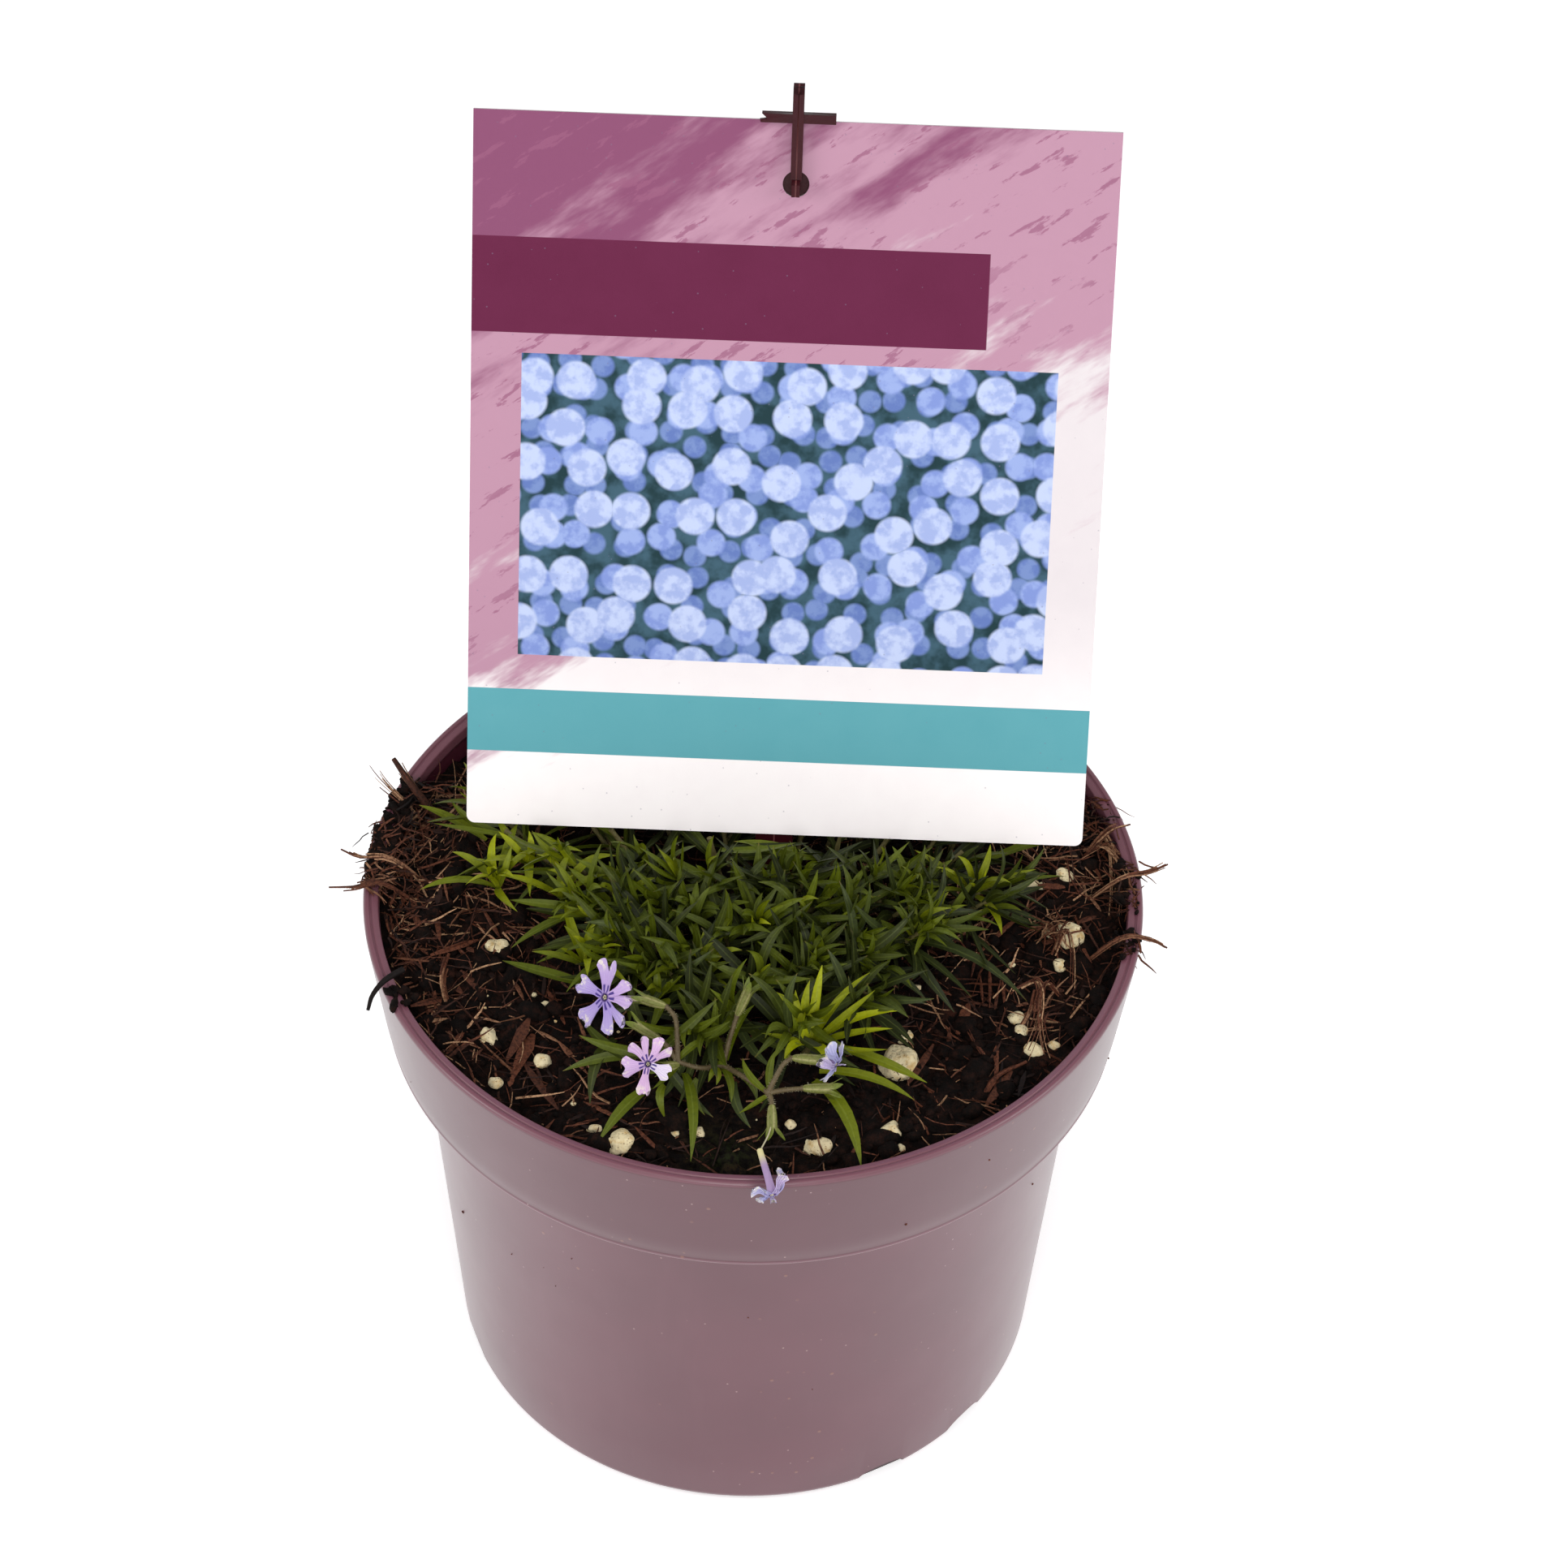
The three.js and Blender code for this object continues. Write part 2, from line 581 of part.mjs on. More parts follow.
/** The flat flower with each petal bent by its own angle from the mouth outward. */
function corollaGeometry(bloom) {
  const flat = new THREE.ExtrudeGeometry(petalOutline(bloom), {
    depth: PETAL_THICKNESS, bevelEnabled: false,
  });
  const position = flat.attributes.position;
  const mouth = 1.02 * MOUTH_REACH * BLOOM_RADIUS * bloom.size;
  const spin = radians(bloom.spin);
  for (let i = 0; i < position.count; i += 1) {
    const [x, y, z] = [position.getX(i), position.getY(i), position.getZ(i)];
    const radius = Math.hypot(x, y);
    const angle = Math.atan2(y, x);
    const petal = Math.round(angle / (Math.PI * 0.4) + 5) % 5;
    const beyond = Math.max(radius - mouth, 0);
    const bend = beyond > 0 ? radians(bloom.bends[petal]) : 0;
    const reach = Math.min(radius, mouth) + beyond * Math.cos(bend) - z * Math.sin(bend);
    const lift = beyond * Math.sin(bend) + z * Math.cos(bend);
    position.setXYZ(i, reach * Math.cos(angle + spin), reach * Math.sin(angle + spin), lift);
  }
  return flat;
}

function bloomSolid(bloom) {
  const centre = new THREE.Vector3(...bloom.centre);
  const looks = new THREE.Vector3(...bloom.looks).normalize();
  const turn = new THREE.Quaternion().setFromUnitVectors(UP, looks);
  const place = new THREE.Matrix4().compose(centre, turn, new THREE.Vector3(1, 1, 1));
  const corolla = corollaGeometry(bloom).applyMatrix4(place);
  const foot = new THREE.Vector3(...bloom.foot);
  const throat = centre.clone().addScaledVector(looks, 0.3);
  const bendPoint = centre.clone().addScaledVector(looks, -2.4);
  const tube = rod([foot, bendPoint, throat], TUBE_RADIUS, 5);
  return solidOf(corolla).add(solidOf(tube));
}

// ---------------------------------------------------------------- leafy shoots

/** How far the mat of leaves reaches from its crown, at each azimuth in degrees. */
const MAT_REACH = [
  [-180, 70], [-165, 60], [-150, 51], [-135, 51], [-114, 78], [-92, 77], [-73, 68], [-54, 58],
  [-37, 52], [-26, 58], [3, 68], [18, 82], [60, 74], [100, 72], [148, 78], [163, 80], [180, 70],
];

function matReach(azimuth) {
  const degrees = THREE.MathUtils.radToDeg(azimuth);
  for (let i = 1; i < MAT_REACH.length; i += 1) {
    const [start, low] = MAT_REACH[i - 1];
    const [end, high] = MAT_REACH[i];
    if (degrees <= end) {
      const blend = (degrees - start) / (end - start);
      return low + (high - low) * blend * blend * (3 - 2 * blend);
    }
  }
  return MAT_REACH[0][1];
}

/** Pairs of leaves from the tip down: place on the stem, angle from it, length and width. */
const LEAF_PAIRS = [
  { along: 1, spread: 22, length: 0.66, width: 0.8 },
  { along: 0.8, spread: 42, length: 0.92, width: 0.95 },
  { along: 0.58, spread: 58, length: 1.05, width: 1 },
  { along: 0.36, spread: 71, length: 1, width: 1 },
];

const GOLDEN_ANGLE = Math.PI * (3 - Math.sqrt(5));

/** The bent axis of one shoot: straight out of its hole, then outward and up at the tip. */
function stemPoints(azimuth, reach, share, lean, length) {
  const outward = new THREE.Vector3(Math.cos(azimuth), Math.sin(azimuth), 0);
  const heading = outward.clone().multiplyScalar(Math.sin(lean)).addScaledVector(UP, Math.cos(lean));
  const [x, y] = [CROWN.x + outward.x * reach, CROWN.y + outward.y * reach];
  const soil = soilHeight(x, y);
  const root = new THREE.Vector3(x, y, soil - 5);
  const collar = new THREE.Vector3(x, y, soil + 2.2);
  const elbow = collar.clone().addScaledVector(outward, length * 0.42 * share);
  elbow.z += length * 0.3;
  const tip = elbow.clone().addScaledVector(heading, length * 0.55);
  return [root, collar, elbow, tip];
}

/** One shoot of the spiral, drawn in towards the crown until its stem clears every obstacle. */
function shootStem(number, runs) {
  const draw = randomSource(900 + number * 17);
  const share = Math.sqrt((number + 0.5) / SHOOT_COUNT);
  const spiral = number * GOLDEN_ANGLE + 0.25 * (draw() - 0.5);
  const azimuth = Math.atan2(Math.sin(spiral), Math.cos(spiral));
  const lean = radians(8 + 50 * share + 10 * (draw() - 0.5));
  const length = 13 + 4 * share + 3 * draw();
  let reach = (matReach(azimuth) - 25) * share;
  let points = stemPoints(azimuth, reach, share, lean, length);
  while (crossesRun(points, runs) && reach > 4) {
    reach -= 3;
    points = stemPoints(azimuth, reach, share, lean, length);
  }
  return { number, draw, points };
}

/** True where a stem comes too near to a stalk, a bloom or the stake. */
function crossesRun(points, runs) {
  return runs.some((run) => points.slice(1).some((point, i) => (
    segmentDistance(points[i], point, run.a, run.b) < run.radius + STEM_RADIUS + 0.3
  )));
}

/** A point on the leafy part of a stem, 0 at the collar and 1 at the tip. */
function onStem(points, along) {
  const [, collar, elbow, tip] = points;
  const first = collar.clone().lerp(elbow, along);
  const second = elbow.clone().lerp(tip, along);
  return { point: first.clone().lerp(second, along), axis: second.sub(first).normalize() };
}

/** Closest distance between two straight segments. */
function segmentDistance(a, b, c, d) {
  const u = new THREE.Vector3().subVectors(b, a);
  const v = new THREE.Vector3().subVectors(d, c);
  const w = new THREE.Vector3().subVectors(a, c);
  const [uu, uv, vv, uw, vw] = [u.dot(u), u.dot(v), v.dot(v), u.dot(w), v.dot(w)];
  const det = uu * vv - uv * uv;
  let s = det > 1e-9 ? THREE.MathUtils.clamp((uv * vw - vv * uw) / det, 0, 1) : 0;
  let t = (uv * s + vw) / vv;
  if (t < 0 || t > 1) {
    t = THREE.MathUtils.clamp(t, 0, 1);
    s = THREE.MathUtils.clamp((uv * t - uw) / uu, 0, 1);
  }
  return w.addScaledVector(u, s).addScaledVector(v, -t).length();
}

/** Every straight run that leaves must clear: its ends, how near they may come, its owner. */
function fixedObstacles() {
  const runs = [];
  const add = (points, radius) => {
    for (let i = 1; i < points.length; i += 1) {
      const [a, b] = [new THREE.Vector3(...points[i - 1]), new THREE.Vector3(...points[i])];
      runs.push({ a, b, radius, owner: -1 });
    }
  };
  STALKS.forEach((points) => add(points, STALK_RADIUS + 0.5));
  CALYCES.forEach(({ from, to }) => add([from, to], CALYX_RADIUS + 1.6));
  add(STYLE_THREAD, 0.9);
  for (const { centre, foot, looks, size } of Object.values(BLOOMS)) {
    const front = centre.map((value, i) => value + looks[i] * 0.5);
    add([foot, centre], TUBE_RADIUS + 0.6);
    add([centre, front], BLOOM_RADIUS * size * 1.04);
  }
  LUMPS.forEach(({ x, y, size }) => {
    const z = soilHeight(x, y);
    add([[x, y, z - 0.5], [x, y, z + 0.5]], size * 1.3);
  });
  [...RIM_FIBRES, ...TWIGS].forEach((points) => add(points, 1));
  const frame = labelFrame();
  for (const shift of [-3, 0, 3]) {
    const low = new THREE.Vector3(shift, -STAKE_DEPTH_BELOW_LABEL, STAKE_BACK + 0.9).applyMatrix4(frame);
    const high = new THREE.Vector3(shift, LABEL_HEIGHT, STAKE_BACK + 0.9).applyMatrix4(frame);
    runs.push({ a: low, b: high, radius: 2, owner: -1 });
  }
  return runs;
}

const PART_TO_LABEL = labelFrame().invert();

/** True where a leaf point would touch the soil or the lip, or touch or rise before the card. */
function blocked(point) {
  const local = point.clone().applyMatrix4(PART_TO_LABEL);
  const acrossCard = Math.abs(local.x) < LABEL_WIDTH / 2 + 2;
  if (acrossCard && local.y > -2 && Math.abs(local.z) < 3) return true;
  if (acrossCard && local.z > 0 && point.y + point.z > CARD_SIGHT) return true;
  if (Math.hypot(point.x, point.y) > 88) return true;
  return point.z < soilHeight(point.x, point.y) + 1.9;
}

/** One leaf on an arch from the stem: root, middle and tip, and the way its upper side looks. */
function leafPath(stem, pair, side, turn, lift) {
  const { point, axis } = onStem(stem.points, pair.along);
  const [across, over] = squareTo(axis);
  const angle = side * Math.PI + turn;
  const outward = across.multiplyScalar(Math.cos(angle)).addScaledVector(over, Math.sin(angle));
  const spread = radians(pair.spread - lift);
  const length = LEAF_LENGTH * pair.length * (0.88 + 0.2 * stem.vigour);
  const heading = axis.clone().multiplyScalar(Math.cos(spread)).addScaledVector(outward, Math.sin(spread));
  const root = point.addScaledVector(outward, 0.35 * STEM_RADIUS);
  const middle = root.clone().addScaledVector(heading, length * 0.5);
  const arched = heading.clone().addScaledVector(UP, 0.18).addScaledVector(outward, 0.1).normalize();
  const tip = middle.clone().addScaledVector(arched, length * 0.5);
  const face = axis.clone().addScaledVector(heading, -axis.dot(heading)).normalize();
  return { root, middle, tip, face, width: LEAF_WIDTH * pair.width };
}

function clearOf(runs, owner, leaf) {
  for (const [a, b] of [[leaf.root, leaf.middle], [leaf.middle, leaf.tip]]) {
    for (const run of runs) {
      if (run.owner === owner) continue;
      const limit = run.radius + LEAF_SPACING / 2;
      const reach = a.distanceTo(b) + run.a.distanceTo(run.b) + limit;
      if (a.distanceTo(run.a) > reach) continue;
      if (segmentDistance(a, b, run.a, run.b) < limit) return false;
    }
  }
  const middles = [0.35, 0.7, 1].map((t) => leaf.root.clone().lerp(leaf.middle, t));
  const ends = [0.35, 0.7, 1].map((t) => leaf.middle.clone().lerp(leaf.tip, t));
  return ![...middles, ...ends].some(blocked);
}

/** Grows all shoots together, pair by pair from the tips down, each leaf bent clear of the rest. */
function growMat() {
  const runs = fixedObstacles();
  const stems = Array.from({ length: SHOOT_COUNT }, (_, i) => shootStem(i, runs));
  for (const stem of stems) {
    stem.leaves = [];
    stem.vigour = stem.draw();
    stem.start = Math.PI * stem.draw();
    for (let i = 1; i < stem.points.length; i += 1) {
      runs.push({ a: stem.points[i - 1], b: stem.points[i], radius: STEM_RADIUS + 0.4, owner: stem.number });
    }
  }
  LEAF_PAIRS.forEach((pair, level) => {
    for (const stem of stems) {
      for (const side of [0, 1]) {
        const base = stem.start + level * (Math.PI / 2 + 0.12) + 0.5 * (stem.draw() - 0.5);
        for (let attempt = 0; attempt < 14; attempt += 1) {
          const swing = (attempt % 2 === 0 ? 1 : -1) * Math.ceil(attempt / 2) * 0.17;
          const leaf = leafPath(stem, pair, side, base + swing, attempt * 2);
          if (!clearOf(runs, stem.number, leaf)) continue;
          stem.leaves.push(leaf);
          const radius = (LEAF_SPACING / 2) * pair.width;
          runs.push({ a: leaf.root, b: leaf.middle, radius, owner: stem.number });
          runs.push({ a: leaf.middle, b: leaf.tip, radius, owner: stem.number });
          break;
        }
      }
    }
  });
  return stems;
}

/** A narrow pointed leaf, flat above and keeled below, on a curve through its three points. */
function leafGeometry({ root, middle, tip, face, width }) {
  const control = middle.clone().multiplyScalar(2).addScaledVector(root, -0.5).addScaledVector(tip, -0.5);
  const curve = new THREE.QuadraticBezierCurve3(root, control, tip);
  const stations = [[0, 0.42], [0.5, 1], [1, 0.06]];
  const rings = stations.map(([t, size]) => {
    const point = curve.getPoint(t);
    const along = curve.getTangent(t);
    const across = new THREE.Vector3().crossVectors(along, face).normalize();
    const upper = new THREE.Vector3().crossVectors(across, along);
    const half = (width / 2) * size;
    const keel = Math.max(LEAF_KEEL * size, 0.12);
    return [
      point.clone().addScaledVector(across, half),
      point.clone().addScaledVector(across, -half),
      point.clone().addScaledVector(upper, -keel),
    ];
  });
  rings.forEach((ring) => ring.reverse());
  return loft(rings);
}

function shootSolid(stem) {
  const axis = solidOf(rod(stem.points, STEM_RADIUS, 4));
  return joined([axis, ...stem.leaves.map((leaf) => solidOf(leafGeometry(leaf)))]);
}

// ---------------------------------------------------------------- assembly

const stems = growMat();
const stemHoles = stems.map(({ points: [root] }) => ({
  x: root.x, y: root.y, radius: STEM_RADIUS + 0.45, bottom: root.z - 0.4,
}));
const [sprayX, sprayY, sprayZ] = SPRAY_FOOT;
stemHoles.push({ x: sprayX, y: sprayY, radius: STALK_RADIUS + 0.5, bottom: sprayZ - 0.4 });

const phlox = new THREE.Group();
phlox.add(meshOf('pot', potSolid(), POT_PLASTIC));
phlox.add(meshOf('soil', soilSolid(stemHoles), PEAT));

const labelGroup = new THREE.Group();
labelGroup.applyMatrix4(labelFrame());
labelGroup.add(meshOf('label', labelSolid(), LABEL_CARD));
labelGroup.add(meshOf('label_stake', stakeSolid(), STAKE_PLASTIC));
phlox.add(labelGroup);

phlox.add(meshOf('flower_spray', spraySolid(), STALK_GREEN));
for (const [name, bloom] of Object.entries(BLOOMS)) {
  phlox.add(meshOf(name, bloomSolid(bloom), bloom.breadth < 1 ? PETAL_WILTED : PETAL_LAVENDER));
}

for (const stem of stems) {
  const name = `shoot_${String(stem.number + 1).padStart(2, '0')}`;
  phlox.add(meshOf(name, shootSolid(stem), LEAF_GREEN));
}

export default phlox;
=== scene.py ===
import math

import bmesh
import bpy
import numpy as np
from mathutils import Matrix, Vector, noise
from mathutils.geometry import tessellate_polygon


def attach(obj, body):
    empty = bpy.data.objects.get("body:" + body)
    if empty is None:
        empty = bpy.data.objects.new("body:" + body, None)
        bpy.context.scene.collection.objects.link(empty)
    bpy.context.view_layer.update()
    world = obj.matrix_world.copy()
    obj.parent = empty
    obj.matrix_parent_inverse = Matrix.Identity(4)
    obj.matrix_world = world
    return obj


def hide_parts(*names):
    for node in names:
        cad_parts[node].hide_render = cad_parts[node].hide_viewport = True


# The dressed model of a creeping phlox in its nursery pot, with a card label on a hook stake.
# Every shape is worked out in millimetres and becomes metres when its piece is made.
# The names and sizes are the solid model's own, and the front of the pot faces -Y.

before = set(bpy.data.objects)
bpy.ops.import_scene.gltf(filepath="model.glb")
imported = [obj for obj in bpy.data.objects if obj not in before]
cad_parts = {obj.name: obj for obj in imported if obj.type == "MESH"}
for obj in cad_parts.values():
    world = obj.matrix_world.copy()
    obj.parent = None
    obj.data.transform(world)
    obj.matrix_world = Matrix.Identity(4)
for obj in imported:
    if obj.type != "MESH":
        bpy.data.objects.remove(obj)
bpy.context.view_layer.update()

MM = 0.001
UP = np.array([0.0, 0.0, 1.0])
GOLDEN_ANGLE = math.pi * (3 - math.sqrt(5))
TO_VIEWER = np.array([0.0, -0.71, 0.7])

# ---------------------------------------------------------------- driving dimensions

RIM_RADIUS = 95
POT_HEIGHT = 147
FLOOR_RAISE = 3.2
WALL = 1.2
POT_SIDES = 256
NOTCH_WIDTH = 13
NOTCH_HEIGHT = 4.4
NOTCH_REACH = (72.2, 78)
RECESS_REACH = (70.9, 71.9)
NOTCH_PAIR_AZIMUTHS = (-50, 70, 190)
NOTCH_PAIR_SPREAD = 10.6

SOIL_LEVEL = 138.6
SOIL_EDGE_RADIUS = 91.3
SOIL_SIDES = 400
CHIP_COUNT = 18

LABEL_WIDTH = 150
LABEL_HEIGHT = 177
LABEL_THICKNESS = 0.7
LABEL_LEAN = 23.7
LABEL_YAW = -1
LABEL_FOOT = np.array([4.6, 9.4, 156.6])
LABEL_HOLE_HEIGHT = 162
LABEL_HOLE_RADIUS = 3.1
LABEL_CORNER_RADIUS = 2
CLEARANCE = 0.3

STAKE_WIDTH = 9
STAKE_THICKNESS = 1.8
STAKE_DEPTH_BELOW_LABEL = 62
HOOK_WIDTH = 2.6
HOOK_RISE = 8.2
HOOK_THICKNESS = 1.6
CROSS_BAR_WIDTH = 17.6
CROSS_BAR_HEIGHT = 2.1
CROSS_BAR_DROP = 0.35

CROWN = (0, -2)
SHOOT_COUNT = 36
LEAF_LENGTH = 21
LEAF_WIDTH = 2.3
STEM_RADIUS = 0.95
LEAF_SPACING = 2.55
CARD_SIGHT = LABEL_FOOT[1] + LABEL_FOOT[2] - 1

STALK_RADIUS = 0.62
CALYX_RADIUS = 1.15
SEPAL_LENGTH = 3.2
BLOOM_RADIUS = 8.2
TUBE_RADIUS = 0.62
MOUTH_REACH = 0.2
PETAL_THICKNESS = 0.7

# ---------------------------------------------------------------- numbers and directions


def random_source(seed):
    """A repeatable stream of numbers from 0 up to 1."""
    state = seed

    def draw():
        nonlocal state
        state = (state * 1664525 + 1013904223) % 4294967296
        return state / 4294967296

    return draw


def vec(*values):
    return np.array(values, dtype=float)


def unit(vector):
    return vector / (np.linalg.norm(vector) or 1)


def drift(draw, rise=0.5):
    """A random step to any side, with its rise scaled."""
    return vec(draw() - 0.5, draw() - 0.5, rise * (draw() - 0.5))


def clamped(value):
    return min(1.0, max(0.0, value))


def polar(radius, azimuth, z=0.0):
    return vec(radius * math.cos(azimuth), radius * math.sin(azimuth), z)


def turned(x, y, angle):
    """A flat point turned about the upright axis."""
    return x * math.cos(angle) - y * math.sin(angle), x * math.sin(angle) + y * math.cos(angle)


def wrapped(angle):
    """The same direction as an angle from -pi to pi."""
    return math.atan2(math.sin(angle), math.cos(angle))


def turns(count):
    """Evenly spaced angles round one whole turn."""
    return [math.tau * s / count for s in range(count)]


def square_to(direction):
    """Two directions square to the given one."""
    reference = vec(1, 0, 0) if abs(direction[2]) > 0.9 else UP
    side = unit(np.cross(direction, reference))
    return side, np.cross(side, direction)


def around(side, over, turn):
    """The direction at an angle from one side towards another."""
    return math.cos(turn) * side + math.sin(turn) * over


def curve(start, control, end, t):
    """The place at t on the curve between two ends that leans towards its control point."""
    return (1 - t) ** 2 * start + 2 * t * (1 - t) * control + t ** 2 * end


def wave(x, y, z, size):
    """Smooth noise from -1 to 1 whose bumps are about the given size across."""
    return noise.noise(Vector((x / size, y / size, z / size)))


def interpolate(table, value):
    """The second column of a table at a value of its first, on straight lines."""
    return float(np.interp(value, [row[0] for row in table], [row[1] for row in table]))


# ---------------------------------------------------------------- meshes


class Parts:
    """Points in millimetres, faces and named point values of one piece, gathered bit by bit."""

    def __init__(self, *value_names):
        self.points = []
        self.faces = []
        self.values = {name: [] for name in value_names}

    def add(self, points, faces, **values):
        start = len(self.points)
        self.points.extend(points)
        self.faces.extend([start + corner for corner in face] for face in faces)
        for name, kept in self.values.items():
            value = values.get(name, 0.0)
            kept.extend(value if np.ndim(value) else [value] * len(points))

    def mesh(self):
        """The mesh in metres; the faces of every closed body look outward."""
        mesh = bpy.data.meshes.new("parts")
        mesh.from_pydata((np.array(self.points) * MM).tolist(), [], self.faces)
        for name, values in self.values.items():
            mesh.attributes.new(name, "FLOAT", "POINT").data.foreach_set("value", np.array(values, dtype="f"))
        body = bmesh.new()
        body.from_mesh(mesh)
        bmesh.ops.recalc_face_normals(body, faces=body.faces)
        body.to_mesh(mesh)
        body.free()
        return mesh

    def show(self, name, *details, **settings):
        make_piece(name, self.mesh(), *details, **settings)


def make_piece(name, mesh, material, slot, replaced=(), crease=40):
    """Shows a mesh as a piece of the plant; edges sharper than the crease angle stay crisp."""
    mesh.shade_smooth()
    mesh.set_sharp_from_angle(angle=math.radians(crease))
    mesh.materials.clear()
    mesh.materials.append(material)
    piece = bpy.data.objects.new(name, mesh)
    bpy.context.scene.collection.objects.link(piece)
    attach(piece, "root")
    if replaced:
        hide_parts(*replaced)


def skin(rings):
    """Points and faces of a closed body over a row of rings, capped at both ends."""
    sides = len(rings[0])
    last = (len(rings) - 1) * sides
    points = [point for ring in rings for point in ring]
    faces = []
    for start in range(0, last, sides):
        for s in range(sides):
            a, b = start + s, start + (s + 1) % sides
            faces.append((a, b, b + sides, a + sides))
    return points, [*faces, range(sides), range(last, last + sides)]


def solid(rings):
    """A mesh of one closed body over a row of rings."""
    parts = Parts()
    parts.add(*skin(rings))
    return parts.mesh()


def lathe(profile, sides):
    """A ring round the upright axis for each radius and height of a profile."""
    return [[polar(radius, azimuth, z) for azimuth in turns(sides)] for radius, z in profile]


def ring_of(centre, side, over, radii):
    """A ring of points round a centre, with one radius for each point."""
    return [centre + radius * around(side, over, turn) for radius, turn in zip(radii, turns(len(radii)))]


def tube(points, radii, sides):
    """A round body through the points, its rings carried along without twist."""
    rings = []
    side = None
    for i, point in enumerate(points):
        along = unit(points[min(i + 1, len(points) - 1)] - points[max(i - 1, 0)])
        side = square_to(along)[0] if side is None else unit(side - side.dot(along) * along)
        rings.append(ring_of(point, side, np.cross(along, side), [radii[i]] * sides))
    return skin(rings)


def smooth_run(points, steps):
    """A smooth curve through the points, with the given steps on each stretch."""
    points = [np.array(point, dtype=float) for point in points]
    padded = [2 * points[0] - points[1], *points, 2 * points[-1] - points[-2]]
    run = []
    for a, b, c, d in zip(padded, padded[1:], padded[2:], padded[3:]):
        for t in (step / steps for step in range(steps)):
            run.append(0.5 * (2 * b + (c - a) * t + (2 * a - 5 * b + 4 * c - d) * t ** 2
                              + (3 * b - a - 3 * c + d) * t ** 3))
    return [*run, points[-1]]


def ball_template(subdivisions):
    """Points and faces of a unit icosphere."""
    ball = bmesh.new()
    bmesh.ops.create_icosphere(ball, subdivisions=subdivisions, radius=1.0)
    points = [np.array(vertex.co) for vertex in ball.verts]
    faces = [tuple(vertex.index for vertex in face.verts) for face in ball.faces]
    ball.free()
    return points, faces


def modified(mesh, kind, **settings):
    """The mesh after one modifier."""
    body = bpy.data.objects.new("work", mesh)
    bpy.context.scene.collection.objects.link(body)
    modifier = body.modifiers.new(kind, kind)
    for key, value in settings.items():
        setattr(modifier, key, value)
    seen = body.evaluated_get(bpy.context.evaluated_depsgraph_get())
    result = bpy.data.meshes.new_from_object(seen)
    bpy.data.objects.remove(body)
    return result


def boolean(mesh, operation, other):
    """The mesh joined with, or cut by, another one."""
    tool = bpy.data.objects.new("tool", other)
    bpy.context.scene.collection.objects.link(tool)
    result = modified(mesh, "BOOLEAN", operation=operation, object=tool, solver="EXACT")
    bpy.data.objects.remove(tool)
    return result


# ---------------------------------------------------------------- node materials


def linear(value):
    """A screen value, 0 to 255, as the linear share of light that a shader takes."""
    share = value / 255
    return share / 12.92 if share <= 0.04045 else ((share + 0.055) / 1.055) ** 2.4


